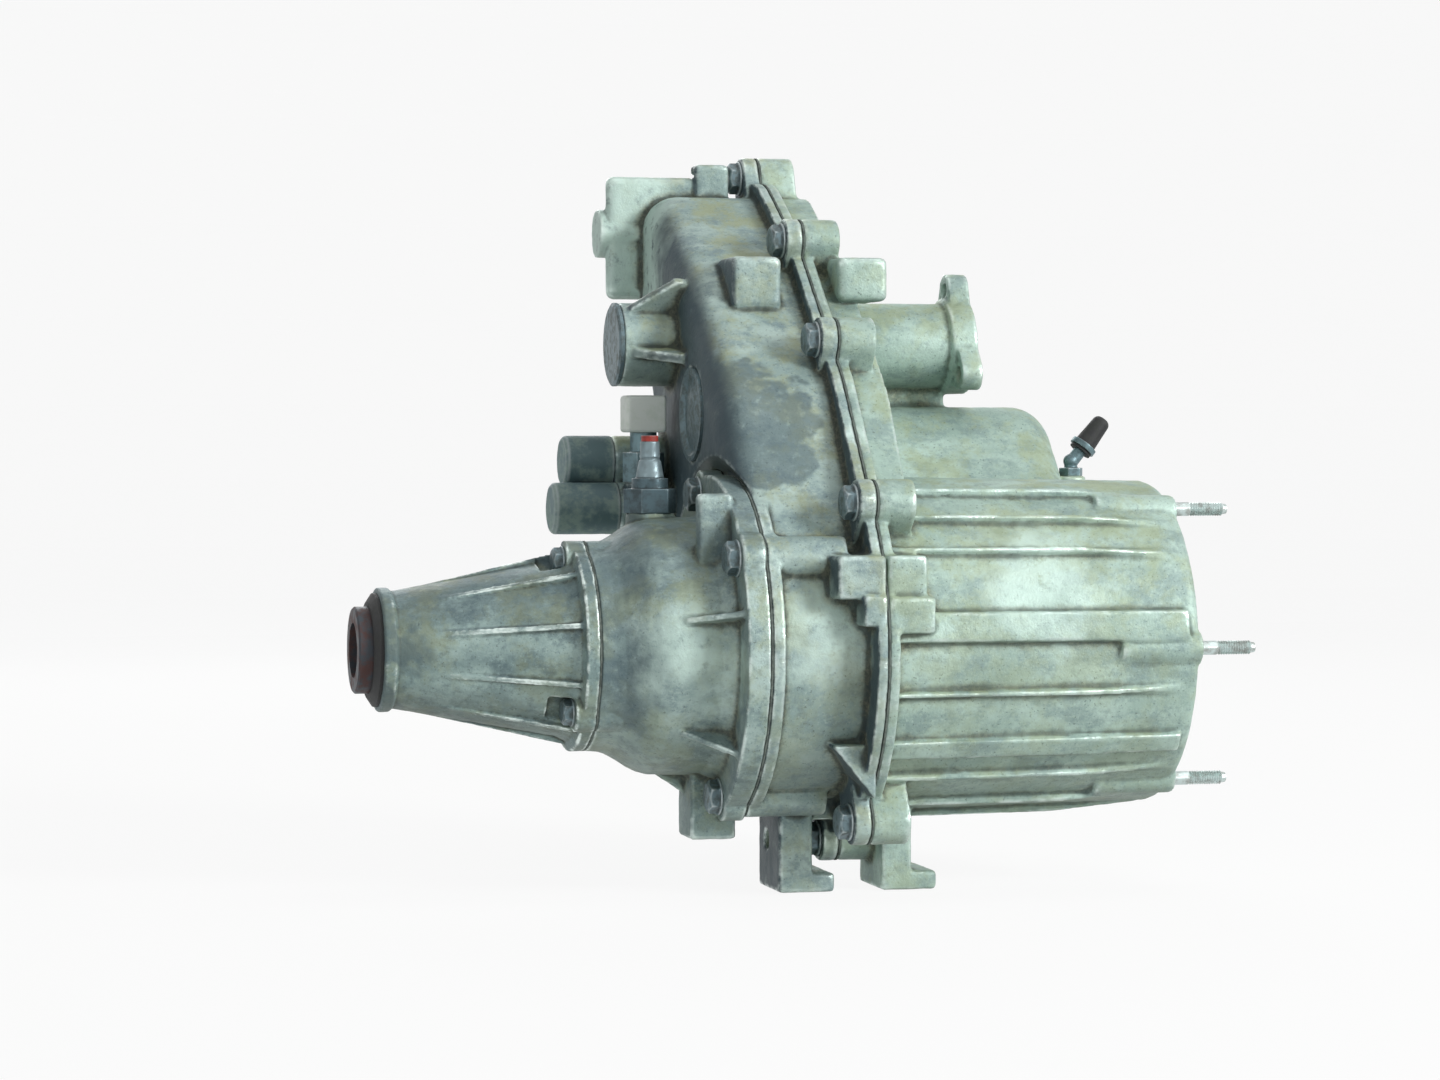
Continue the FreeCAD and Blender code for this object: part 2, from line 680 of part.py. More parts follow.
def make_bell_cover():
    """Round cover between the gear chamber and the tail housing."""
    face = mm("bell_joint_at") + mm("gasket") / 2
    tail_face = mm("tail_joint_at") - mm("gasket") / 2
    rad = mm("bell_rad")
    flange_end = face + 13
    outside = [(face, 0), (face, mm("bell_flange_rad")), (flange_end, mm("bell_flange_rad")),
               (flange_end, rad + 5), (flange_end + 9, rad + 1), (302, rad), (308, rad - 1.5),
               (314, rad - 4.5), (320, rad - 8.5), (326, rad - 12), (331, mm("tail_flange_rad") + 0.5),
               (tail_face, mm("tail_flange_rad")), (tail_face, 0)]
    shell = lathe(outside)
    low = [(face + 10, 60), (flange_end, 94), (flange_end + 3, 92), (316, 60)]
    extras = [
        radial_rib(low, 3.5, 14),
        radial_rib(low, 3.5, -38),
        radial_rib(low, 3.5, -92),
        radial_rib(low, 3.5, 150),
        radial_rib(low, 3.5, -150),
        # upright lug beside the chamber
        soft_slab(263.5, 284, -56, -46, 40, 88, 3),
        # boss of the speed sensor
        Part.makeCylinder(14, 40, V(-mm("sensor_at"), mm("sensor_y"), 36), V(0, 0, 1)),
        # foot under the flange
        soft_slab(face, 279, -16, 16, -110, -60, 2),
    ]
    for angle in BELL_BOLT_ANGLES:
        y, z = near_side(mm("bell_bolt_circle_rad"), angle)
        extras.append(cyl(14, face, flange_end, y, z))
    for angle in TAIL_BOLT_ANGLES:
        y, z = near_side(mm("tail_bolt_circle_rad"), angle)
        extras.append(cyl(11, 324, tail_face, y, z))
    shell = shell.multiFuse(extras)
    inside = [(face - 1, 0), (face - 1, rad + 6), (face + 4, rad - 6), (300, rad - 6), (312, rad - 13),
              (318, rad - 20), (318, mm("rear_bearing_rad")), (tail_face + 1, mm("rear_bearing_rad")),
              (tail_face + 1, 0)]
    tools = [
        lathe(inside),
        Part.makeCylinder(7, 60, V(-mm("sensor_at"), mm("sensor_y"), 30), V(0, 0, 1)),
    ]
    for angle in BELL_BOLT_ANGLES:
        y, z = near_side(mm("bell_bolt_circle_rad"), angle)
        tools.append(cyl(mm("bolt_rad") + mm("hole_gap"), face - 1, 270, y, z))
    for angle in TAIL_BOLT_ANGLES:
        y, z = near_side(mm("tail_bolt_circle_rad"), angle)
        tools.append(cyl(mm("tail_bolt_rad"), 328, 345, y, z))
    return feature("bell_cover", shell.cut(Part.makeCompound(tools)))


def make_tail_housing():
    """Tapered, ribbed tail housing around the rear output."""
    face = mm("tail_joint_at") + mm("gasket") / 2
    end = mm("tail_end_at")
    rad, end_rad = mm("tail_rad"), mm("tail_end_rad")
    flange = mm("tail_flange_rad")
    shell = lathe([(face, 0), (face, flange), (face + 7, flange), (face + 9, rad + 3), (face + 15, rad),
                   (end - 8, end_rad), (end - 6.5, end_rad + 2), (end - 1, end_rad + 2), (end, end_rad + 1),
                   (end, 0)])
    low = [(face + 5, 30), (face + 5, rad + 6), (end - 16, end_rad + 1), (end - 16, 30)]
    extras = [radial_rib(low, 3, 52 - 36 * k) for k in range(10)]
    for angle in TAIL_BOLT_ANGLES:
        y, z = near_side(mm("tail_bolt_circle_rad"), angle)
        extras.append(cyl(11, face, face + 11.5, y, z))
    shell = shell.multiFuse(extras)
    shell = shell.cut(lathe([(face - 1, 0), (face - 1, rad - 6), (end - 45, end_rad - 6), (end - 45, 0)]))
    tools = [
        cyl(mm("bushing_rad"), end - 50, end + 1),
        cyl(mm("tail_bore_rad"), end - 9, end + 1),
    ]
    for angle in TAIL_BOLT_ANGLES:
        y, z = near_side(mm("tail_bolt_circle_rad"), angle)
        tools.append(cyl(mm("tail_bolt_rad") + mm("hole_gap"), face - 1, face + 20, y, z))
        tools.append(cyl(9.5, face + 11.5, face + 26, y, z))
    return feature("tail_housing", shell.cut(Part.makeCompound(tools)))


def make_gaskets():
    """Three flat gaskets between the castings."""
    half = mm("gasket") / 2
    joint, bell, tail = mm("joint_at"), mm("bell_joint_at"), mm("tail_joint_at")
    sheet = belt([(0, 0, 109)] + case_circles(mm("flange_lip"))[1:], joint - half, joint + half)
    sheet = sheet.multiFuse(bolt_lugs(joint - half, joint + half, mm("bolt_boss_rad")))
    tools = [case_cavity(joint - 5, joint + 5), cyl(mm("drum_cavity_rad"), joint - 5, joint + 5),
             belt(box_circles(-5), joint - 5, joint + 5)]
    holes = [cyl(mm("bolt_rad") + mm("hole_gap"), joint - 5, joint + 5, y, z) for y, z, _, _ in MAIN_BOLTS]
    for tool in tools + [Part.makeCompound(holes)]:
        sheet = sheet.cut(tool)
    feature("case_gasket", sheet)

    sheet = ring(mm("bell_flange_rad"), 79, bell - half, bell + half)
    holes = []
    for angle in BELL_BOLT_ANGLES:
        y, z = near_side(mm("bell_bolt_circle_rad"), angle)
        sheet = sheet.fuse(cyl(12, bell - half, bell + half, y, z))
        holes.append(cyl(mm("bolt_rad") + mm("hole_gap"), bell - 5, bell + 5, y, z))
    feature("bell_gasket", sheet.cut(Part.makeCompound(holes)))

    sheet = ring(mm("tail_flange_rad"), 44, tail - half, tail + half)
    holes = []
    for angle in TAIL_BOLT_ANGLES:
        y, z = near_side(mm("tail_bolt_circle_rad"), angle)
        sheet = sheet.fuse(cyl(11, tail - half, tail + half, y, z))
        holes.append(cyl(mm("tail_bolt_rad") + mm("hole_gap"), tail - 5, tail + 5, y, z))
    feature("tail_gasket", sheet.cut(Part.makeCompound(holes)))


# ---------------------------------------------------------------- fasteners

def screw(radius, across, head_high, seat, tip, y, z):
    """A hexagon screw along X; its head stands outward from the seat station."""
    washer = cyl(across * 0.62, seat, seat + 1.4, y, z)
    head = hex_prism(across, V(-seat - 1.2, y, z), V(-1, 0, 0), head_high)
    corner = Part.makeCone(across * 0.72, across * 0.40, head_high * 0.62,
                           V(-seat - 1.2 - head_high * 0.45, y, z), V(-1, 0, 0))
    low = cyl(across, seat + 1.2, seat + 1.2 + head_high * 0.45, y, z)
    head = head.common(corner.fuse(low))
    shank = cyl(radius, tip, seat, y, z)
    return washer.multiFuse([head, shank])


def make_fasteners():
    """Case bolts, cover bolts, tail bolts and gearbox studs."""
    rad, across, high = mm("bolt_rad"), mm("bolt_head_across"), mm("bolt_head_high")
    seat = mm("joint_at") + mm("gasket") / 2 + 10
    screws = [screw(rad, across, high, seat, 168, y, z) for y, z, _, _ in MAIN_BOLTS]
    feature("case_bolts", Part.makeCompound(screws))

    seat = mm("bell_joint_at") + mm("gasket") / 2 + 13
    spots = [near_side(mm("bell_bolt_circle_rad"), angle) for angle in BELL_BOLT_ANGLES]
    feature("bell_bolts", Part.makeCompound([screw(rad, across, high, seat, 226, y, z) for y, z in spots]))

    seat = mm("tail_joint_at") + mm("gasket") / 2 + 11.5
    spots = [near_side(mm("tail_bolt_circle_rad"), angle) for angle in TAIL_BOLT_ANGLES]
    small = mm("tail_bolt_head_across")
    screws = [screw(mm("tail_bolt_rad"), small, 5.5, seat, 328, y, z) for y, z in spots]
    feature("tail_bolts", Part.makeCompound(screws))

    studs = []
    for k in range(6):
        y, z = near_side(mm("stud_circle_rad"), 60 * k)
        out, stem, root = mm("stud_out"), mm("stud_rad"), mm("stud_root_rad")
        studs.append(lathe([(mm("stud_in"), 0), (mm("stud_in"), root), (0, root), (0, stem),
                            (-out + 1.5, stem), (-out, stem - 1.5), (-out, 0)], y, z))
    feature("gearbox_studs", Part.makeCompound(studs))


def plug(degrees):
    """A hexagon-headed oil plug in its radial boss."""
    y, z = near_side(1, degrees)
    seat = mm("oil_plug_seat_rad")
    out = V(0, y, z)
    base = V(-mm("oil_plug_at"), y * seat, z * seat)
    head = hex_prism(19, base + out * 1.6, out, 7)
    washer = Part.makeCylinder(mm("oil_plug_washer_rad"), 1.6, base, out)
    stem = Part.makeCylinder(8, 14, base - out * 14, out)
    return head.multiFuse([washer, stem])


# ---------------------------------------------------------------- bearings

def ball_bearing(name, near, width, bore, outer, count, centres=((0.0, 0.0),)):
    """Two sub-parts: the outer ring with balls and cage, and the inner ring."""
    pitch = (bore + outer) / 2
    ball = (outer - bore) * 0.28
    far = near + width
    middle = -(near + far) / 2
    land = (outer - bore) * 0.27
    outers, inners = [], []
    for y, z in centres:
        groove = Part.makeTorus(pitch, ball + 0.05, V(middle, y, z), V(1, 0, 0))
        outers.append(ring(outer, outer - land, near, far, y, z).cut(groove))
        inners.append(ring(bore + land, bore, near, far, y, z).cut(groove))
        balls = [Part.makeSphere(ball, V(middle, y + pitch * math.cos(2 * math.pi * k / count),
                                         z + pitch * math.sin(2 * math.pi * k / count))) for k in range(count)]
        band = ring(pitch + 1.1, pitch - 1.1, near + 2.5, far - 2.5, y, z)
        outers.append(band.multiFuse(balls))
    feature(name + "_outer", Part.makeCompound(outers))
    feature(name + "_inner", Part.makeCompound(inners))


def make_bearings():
    """The five ball bearings."""
    wide = mm("bearing_wide")
    ball_bearing("input_bearing", mm("input_bearing_at"), wide, mm("input_rad"), mm("mid_bearing_rad"), 10)
    ball_bearing("mid_bearing", mm("mid_bearing_at"), wide, mm("mid_bearing_bore"), mm("mid_bearing_rad"), 10)
    ball_bearing("rear_bearing", mm("rear_bearing_at"), wide, mm("rear_bearing_bore"), mm("rear_bearing_rad"), 10)


def make_front_bearings():
    """Two equal bearings of the front output shaft, as one pair of sub-parts."""
    wide, y, z = mm("front_bearing_wide"), mm("front_y"), mm("front_z")
    bore, outer = mm("front_rad"), mm("front_bearing_rad")
    pieces = {"outer": [], "inner": []}
    for label, near in (("left", mm("front_left_bearing_at")), ("right", mm("front_right_bearing_at"))):
        ball_bearing("front_bearing_" + label, near, wide, bore, outer, 9, ((y, z),))
        for side in pieces:
            made = DOC.getObject(f"front_bearing_{label}_{side}")
            pieces[side].extend(made.Shape.Solids)
            DOC.removeObject(made.Name)
    for side, solids in pieces.items():
        feature("front_bearings_" + side, Part.makeCompound(solids))


# ---------------------------------------------------------------- range set

def make_range_set():
    """Input shaft, planets, carrier, ring gear and the low-range ring."""
    module = mm("range_module")
    sun, planet, outer = mm("sun_teeth"), mm("planet_teeth"), mm("ring_teeth")
    middle = mm("planet_set_at")
    near, far = middle - mm("sun_wide") / 2, middle + mm("sun_wide") / 2
    shaft = mm("input_rad")
    cup_near, cup_far = mm("cup_near_at"), mm("cup_far_at")

    body = lathe([(mm("input_end_at"), 0), (mm("input_end_at"), shaft - 1), (mm("input_end_at") + 1, shaft),
                  (near, shaft), (near, 26), (cup_near, 26), (cup_near, mm("cup_rad")),
                  (cup_far, mm("cup_rad")), (cup_far, 0)])
    body = body.fuse(gear(module, sun, near, far, 0.0))
    tools = [
        cyl(mm("input_bore_rad"), 0, mm("input_end_at") + mm("input_bore_deep")),
        cyl(mm("pilot_rad") + mm("slide_gap"), 62, cup_far + 1),
        cyl(mm("dog_bore_rad"), cup_near + 2, cup_far + 1),
    ]
    body = body.cut(Part.makeCompound(tools[:1])).cut(tools[1]).cut(tools[2])
    body = body.fuse(dog_socket(cup_near + 2, cup_far))
    feature("input_shaft", body)

    centre = module * (sun + planet) / 2
    pin = mm("planet_pin_rad")
    p_near, p_far = middle - mm("planet_wide") / 2, middle + mm("planet_wide") / 2
    sun_rad, planet_rad = module * sun / 2, module * planet / 2
    phases = []
    for k in range(3):
        toward = 2 * math.pi * k / 3
        phase = mesh_phase(0.0, sun_rad, sun, toward, planet_rad, planet)
        phases.append(phase)
        y, z = centre * math.cos(toward), centre * math.sin(toward)
        wheel = gear(module, planet, p_near, p_far, phase, y, z)
        wheel = wheel.cut(cyl(pin + mm("slide_gap"), p_near - 1, p_far + 1, y, z))
        feature(f"planet_gear_{k + 1}", wheel)

    offset = (phases[0] + math.pi / planet * 2 * 1000) % (2 * math.pi / planet)
    gap_phase = offset * planet_rad / (module * outer / 2)
    blank = ring(mm("ring_rad"), 50, near, far)
    cutter = gear(module, outer, near - 1, far + 1, gap_phase, add=1.2, deduct=0.9, thin=-mm("backlash") / 2)
    feature("ring_gear", blank.cut(cutter))

    plates = [
        ring(60, shaft + mm("slide_gap"), middle - 23, middle - 15),
        ring(60, 35, middle + 15, middle + 21),
        ring(41, 37, middle + 15, 120),
    ]
    posts, holes, pins = [], [], []
    for k in range(3):
        angle = 2 * math.pi * k / 3
        y, z = centre * math.cos(angle), centre * math.sin(angle)
        holes.append(cyl(pin, 40, 100, y, z))
        pins.append(cyl(pin, middle - 23, middle + 21, y, z))
        angle += math.pi / 3
        posts.append(cyl(8, middle - 16, middle + 16, centre * math.cos(angle), centre * math.sin(angle)))
    carrier = plates[0].multiFuse(plates[1:] + posts).cut(Part.makeCompound(holes))
    feature("planet_carrier", carrier)
    feature("planet_pins", Part.makeCompound(pins))
    feature("low_range_ring", ring(37, mm("dog_bore_rad"), 112, 120).fuse(dog_socket(112, 120)))


# ---------------------------------------------------------------- main shaft

def make_main_shaft():
    """Main shaft from the pilot in the input shaft to the rear output sleeve."""
    end = mm("sleeve_end_at")
    sleeve = mm("sleeve_rad")
    root = mm("spline_root_rad")
    journal = mm("journal_rad")
    mid, rear = mm("mid_bearing_at"), mm("rear_bearing_at")
    body = lathe([(66, 0), (66, mm("pilot_rad")), (88, mm("pilot_rad")), (88, root), (166, root), (166, journal),
                  (mid, journal), (mid, mm("mid_bearing_bore")), (268, mm("mid_bearing_bore")), (268, 24),
                  (274, 24), (274, 21.5), (rear, 21.5), (rear, mm("rear_bearing_bore")),
                  (340, mm("rear_bearing_bore")), (340, 27), (346, 27), (346, 20), (408, 20), (416, sleeve),
                  (end - 1, sleeve), (end, sleeve - 1), (end, 0)])
    teeth = outer_teeth(root, mm("spline_tip_rad"), mm("spline_wide"), int(mm("spline_count")), 90, 162)
    body = body.fuse(teeth)
    feature("main_shaft", body.cut(cyl(mm("sleeve_bore_rad"), end - mm("sleeve_bore_deep"), end + 1)))

    hub = cyl(mm("dog_root_rad"), 206, 220).fuse(dog_ring(206, 220))
    feature("mode_hub", hub.cut(cyl(journal, 200, 230)))

    wheel = ring(mm("speed_ring_rad"), 21.5, 293, 301)
    notches = []
    for k in range(30):
        notch = slab(290, 304, mm("speed_ring_rad") - 4, 60, -2.4, 2.4)
        notch.rotate(V(0, 0, 0), V(1, 0, 0), 12 * k)
        notches.append(notch)
    windows = [cyl(6, 290, 304, *near_side(36, 60 * k)) for k in range(6)]
    feature("speed_ring", wheel.cut(Part.makeCompound(notches)).cut(Part.makeCompound(windows)))


def make_range_hub():
    """Sliding hub that joins the input cup to the main shaft."""
    groove, wide = mm("range_groove_at"), mm("range_groove_wide")
    body = lathe([(89.5, 0), (89.5, mm("dog_root_rad")), (97, mm("dog_root_rad")), (97, 24), (groove - 4, 24),
                  (groove - 4, 34), (groove, 34), (groove, 27), (groove + wide, 27), (groove + wide, 34),
                  (groove + wide + 4, 34), (groove + wide + 4, 0)])
    body = body.fuse(dog_ring(89.5, 97))
    body = body.cut(cyl(mm("spline_bore_rad"), 80, 150))
    teeth = inner_teeth(mm("spline_bore_rad"), mm("spline_inner_tip_rad"), mm("spline_wide"),
                        int(mm("spline_count")), 91, groove + wide + 2)
    feature("range_hub", body.fuse(teeth))


def make_mode_sleeve():
    """Sliding sleeve that locks the drive gear to the main shaft."""
    groove, wide = mm("mode_groove_at"), mm("mode_groove_wide")
    near, far = 200, 220
    bore = mm("dog_bore_rad")
    body = lathe([(near, bore), (near, 38), (groove, 38), (groove, 34), (groove + wide, 34), (groove + wide, 38),
                  (far, 38), (far, bore)])
    feature("mode_sleeve", body.fuse(dog_socket(near, far)))


def fork(groove, wide, inner, reach_y, reach_z, hub_rad, stem_at):
    """A fork whose pads sit in a groove and whose hub holds a rail."""
    gap = mm("fork_gap")
    near, far = groove + gap, groove + wide - gap
    length = math.hypot(reach_y, reach_z)
    uy, uz = reach_y / length, reach_z / length
    crescent = ring(inner + 16, inner, near, far)
    side = belt([(uy * 12, uz * 12, inner + 17), (uy * 60, uz * 60, inner + 17)], near - 1, far + 1)
    crescent = crescent.common(side)
    arm = belt([(uy * (inner + 12), uz * (inner + 12), 11), (reach_y, reach_z, 8)], near, far)
    hub = cyl(hub_rad, stem_at[0], stem_at[1], reach_y, reach_z)
    body = crescent.multiFuse([arm, hub])
    return body.cut(cyl(mm("rail_rad"), stem_at[0] - 5, stem_at[1] + 5, reach_y, reach_z))


def make_shift_rails():
    """Range and mode rails with their forks."""
    y, z = mm("range_y"), mm("range_z")
    body = fork(mm("range_groove_at"), mm("range_groove_wide"), 27.5, y, z, 11, (122, 146))
    feature("range_fork", body)
    turned_ring("range_rail", "52", "range_cap_at - 20", "rail_rad", "0", ("range_y", "range_z"))
    y, z = mm("mode_y"), mm("mode_z")
    body = fork(mm("mode_groove_at"), mm("mode_groove_wide"), 34.5, y, z, 11, (203, 219))
    feature("mode_fork", body)
    turned_ring("mode_rail", "203", "mode_cap_at - 18", "rail_rad", "0", ("mode_y", "mode_z"))


# ---------------------------------------------------------------- transfer gears

def make_transfer_gears():
    """Drive gear, idler gear, front gear and the two shafts that carry them."""
    module, teeth, idler = mm("drive_module"), mm("drive_teeth"), mm("idler_teeth")
    near, far = mm("drive_near_at"), mm("drive_far_at")
    rad, idler_rad = module * teeth / 2, module * idler / 2
    c_y, c_z = mm("idler_y"), mm("idler_z")
    b_y, b_z = mm("front_y"), mm("front_z")
    gap = mm("slide_gap")

    wheel = gear(module, teeth, near, far, 0.0)
    hub = cyl(mm("dog_root_rad"), far - 1, 204).fuse(dog_ring(far, 204))
    wheel = wheel.fuse(hub)
    tools = [cyl(mm("journal_rad") + gap, near - 1, 210)]
    web = ring(34, 25, near - 1, near + 6)
    feature("drive_gear", wheel.cut(tools[0]).cut(web))

    toward = math.atan2(c_z, c_y)
    phase = mesh_phase(0.0, rad, teeth, toward, idler_rad, idler)
    wheel = gear(module, idler, near, far, phase, c_y, c_z)
    wheel = wheel.cut(cyl(mm("idler_shaft_rad") + gap, near - 1, far + 1, c_y, c_z))
    for web in (ring(54, 20, near - 1, near + 7, c_y, c_z), ring(54, 20, far - 7, far + 1, c_y, c_z)):
        wheel = wheel.cut(web)
    feature("idler_gear", wheel)

    toward = math.atan2(b_z - c_z, b_y - c_y)
    phase = mesh_phase(phase, idler_rad, idler, toward, rad, teeth)
    wheel = gear(module, teeth, near, far, phase, b_y, b_z)
    wheel = wheel.cut(cyl(mm("front_rad"), near - 1, far + 1, b_y, b_z))
    for web in (ring(33, 19, near - 1, near + 7, b_y, b_z), ring(33, 19, far - 7, far + 1, b_y, b_z)):
        wheel = wheel.cut(web)
    feature("front_gear", wheel)

    turned_ring("idler_shaft", "158", "247", "idler_shaft_rad", "0", ("idler_y", "idler_z"))
    end = "front_end_at"
    turned("front_shaft", "285", [
        ("285", "0"), ("285", "front_rad"), ("front_right_bearing_at", "front_rad"),
        ("front_right_bearing_at", "front_end_rad"), (end, "front_end_rad"), (end, "front_bore_rad"),
        (f"{end} + front_bore_deep", "front_bore_rad"), (f"{end} + front_bore_deep", "0"),
    ], ("front_y", "front_z"))


# ---------------------------------------------------------------- small pieces

def make_seals():
    """Three shaft seals, the tail bushing and the plugs pressed into the castings."""
    turned_ring("input_seal", "4", "12", "30", "input_rad + slide_gap")
    turned("output_seal", "tail_end_at + 5", [
        ("tail_end_at - 8", "sleeve_rad + slide_gap"), ("tail_end_at - 8", "tail_bore_rad"),
        ("tail_end_at", "tail_bore_rad"), ("tail_end_at", "tail_bore_rad + 2"),
        ("tail_end_at + 2", "tail_bore_rad + 2"), ("tail_end_at + 5", "sleeve_rad + 3"),
        ("tail_end_at + 5", "sleeve_rad + slide_gap"),
    ])
    turned_ring("front_output_seal", "87", "95", "neck_bore_rad", "front_end_rad + slide_gap",
                ("front_y", "front_z"))
    turned_ring("tail_bushing", "tail_end_at - 42", "tail_end_at - 12", "bushing_rad", "sleeve_rad + slide_gap")
    turned("core_plug", "case_end_at + 1.5", [
        ("case_end_at - 6", "0"), ("case_end_at - 6", "plug_rad"), ("case_end_at + 1.5", "plug_rad"),
        ("case_end_at + 1.5", "plug_rad - 3"), ("case_end_at - 1", "plug_rad - 6"), ("case_end_at + 0.5", "9"),
        ("case_end_at + 1", "0"),
    ], ("plug_y", "plug_z"))
    turned("front_shaft_cap", "298", [
        ("289", "0"), ("289", "front_bearing_rad"), ("295", "front_bearing_rad"), ("295", "25"),
        ("297", "25"), ("298", "23"), ("298", "0"),
    ], ("front_y", "front_z"))


def make_rail_caps():
    """Two closed cups over the ends of the rail tubes."""
    cups = []
    for y, z, end in ((mm("mode_y"), mm("mode_z"), mm("mode_cap_at")),
                      (mm("range_y"), mm("range_z"), mm("range_cap_at"))):
        rad, spigot, start = mm("cap_rad"), mm("spigot_rad"), mm("tube_end_at")
        cups.append(lathe([(start, spigot), (start, rad), (end - 2, rad), (end, rad - 2), (end, 0),
                           (end - 3, 0), (end - 3, spigot)], y, z))
    feature("rail_caps", Part.makeCompound(cups))


def make_fittings():
    """Oil plugs, speed sensor, indicator switch and breather."""
    feature("fill_plug", plug(FILL_ANGLE))
    feature("drain_plug", plug(DRAIN_ANGLE))

    at, y = mm("sensor_at"), mm("sensor_y")
    up = V(0, 0, 1)
    body = hex_prism(27, V(-at, y, 76), up, 14)
    body = body.multiFuse([
        Part.makeCylinder(7, 26, V(-at, y, 51.5), up),
        Part.makeCylinder(10.5, 7, V(-at, y, 89), up),
        Part.makeCylinder(8, 24, V(-at, y, 93), up),
    ])
    body = body.cut(Part.makeTorus(8.4, 1.2, V(-at, y, 107), up))
    feature("speed_sensor", body.cut(Part.makeCylinder(5, 9, V(-at, y, 110), up)))
    collar = Part.makeCylinder(7, 3.5, V(-at, y, 117), up)
    core = Part.makeCylinder(5, 8, V(-at, y, 110), up)
    feature("sensor_ring", collar.fuse(core))

    at, y, base = mm("switch_at"), mm("switch_y"), 92.5
    body = hex_prism(22, V(-at, y, base), up, 18)
    body = body.multiFuse([Part.makeCylinder(8, 12, V(-at, y, base + 18), up),
                           Part.makeCylinder(4, 10, V(-at, y, base - 10), up)])
    feature("indicator_switch", body)
    block = Part.makeBox(24, 22, 22, V(-at - 12, y - 11, base + 30))
    feature("switch_connector", block.makeFillet(2, block.Edges))

    base, lean = V(-17, 84, 96), V(0.62, 0, 0.78).normalize()
    elbow = Part.makeCylinder(4, 20, base - up * 12, up)
    elbow = elbow.multiFuse([hex_prism(13, base, up, 5), Part.makeSphere(4.6, base + up * 9),
                             Part.makeCylinder(4, 12, base + up * 8, lean)])
    feature("breather_fitting", elbow)
    start = base + up * 8 + lean * 9
    boot = Part.makeCone(7, 5.2, 25, start, lean)
    tip = max(boot.Edges, key=lambda edge: edge.BoundBox.ZMax if len(edge.Vertexes) == 1 else 0)
    boot = boot.makeFillet(3.6, [tip]).cut(Part.makeCylinder(4, 12, base + up * 8, lean))
    feature("breather_cap", boot)
    clip = Part.makeCylinder(8.2, 3.4, start + lean * 2, lean)
    feature("breather_clip", clip.cut(Part.makeCone(7, 5.2, 25, start, lean)))


def write_parts():
    """Check every sub-part, then write one STEP file for each."""
    os.makedirs("parts", exist_ok=True)
    DOC.recompute()
    for item in DOC.Objects:
        if "Invalid" in item.State or "Error" in item.State:
            raise RuntimeError(f"{item.Name} did not recompute")
    wanted = [item for item in DOC.Objects if item.TypeId in ("PartDesign::Body", "Part::Feature")]
    for item in wanted:
        if item.Shape.isNull() or not item.Shape.isValid():
            raise RuntimeError(f"{item.Label} has no valid shape")
        item.Shape.exportStep(f"parts/{item.Label}.step")
        print(item.Label, round(item.Shape.Volume), len(item.Shape.Solids))


write_sheet()
make_front_case()
make_rear_case()
make_bell_cover()
make_tail_housing()
make_gaskets()
make_fasteners()
make_bearings()
make_front_bearings()
make_range_set()
make_main_shaft()
make_range_hub()
make_mode_sleeve()
make_shift_rails()
make_transfer_gears()
make_seals()
make_rail_caps()
make_fittings()
write_parts()
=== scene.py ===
# %% [markdown]
# A transfer case: the gearbox behind a gearbox that shares the drive between the rear and the
# front wheels. Its four aluminium castings, its bolts and its gears come from a CAD model. This
# lesson dresses that model. The first lines load it as a fixed frame, and every new piece is
# placed from the frame's own measures, in metres.

# %% Load the frame
import json
import math

import bmesh
import bpy
import numpy as np
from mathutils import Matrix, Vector


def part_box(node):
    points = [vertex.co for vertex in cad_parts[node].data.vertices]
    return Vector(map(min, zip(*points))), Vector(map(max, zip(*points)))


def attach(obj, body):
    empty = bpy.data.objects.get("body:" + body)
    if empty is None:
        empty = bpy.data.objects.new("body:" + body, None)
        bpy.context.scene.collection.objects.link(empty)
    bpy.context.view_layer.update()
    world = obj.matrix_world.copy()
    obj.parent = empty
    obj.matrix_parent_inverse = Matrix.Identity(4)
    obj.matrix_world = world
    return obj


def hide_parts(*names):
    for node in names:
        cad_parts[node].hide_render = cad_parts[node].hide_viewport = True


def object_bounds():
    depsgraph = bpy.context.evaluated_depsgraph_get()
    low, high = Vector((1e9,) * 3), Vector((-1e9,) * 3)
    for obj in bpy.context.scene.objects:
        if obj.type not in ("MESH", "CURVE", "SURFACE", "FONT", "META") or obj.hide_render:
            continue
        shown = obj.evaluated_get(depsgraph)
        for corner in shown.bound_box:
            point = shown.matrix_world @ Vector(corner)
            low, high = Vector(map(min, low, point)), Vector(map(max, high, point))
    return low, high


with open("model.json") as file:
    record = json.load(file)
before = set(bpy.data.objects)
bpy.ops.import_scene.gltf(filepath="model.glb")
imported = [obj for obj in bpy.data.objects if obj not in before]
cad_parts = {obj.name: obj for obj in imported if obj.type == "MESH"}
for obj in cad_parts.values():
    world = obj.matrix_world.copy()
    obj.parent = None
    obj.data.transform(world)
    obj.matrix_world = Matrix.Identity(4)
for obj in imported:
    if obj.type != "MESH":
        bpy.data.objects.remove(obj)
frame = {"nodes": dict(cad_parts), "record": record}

MM = 0.001
nodes = frame["nodes"]
record = frame["record"]
scene = bpy.context.scene
cad_low, cad_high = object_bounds()
print("nodes", len(nodes), "size in mm", [round(v / MM) for v in cad_high - cad_low])

# %% [markdown]
# Colours are written as sRGB hex, as a painter would note them, but a shader works in linear
# light, so one function converts them. One more function adds a shader node: its sockets are
# filled from a dictionary, with either a plain value or the output of another node.

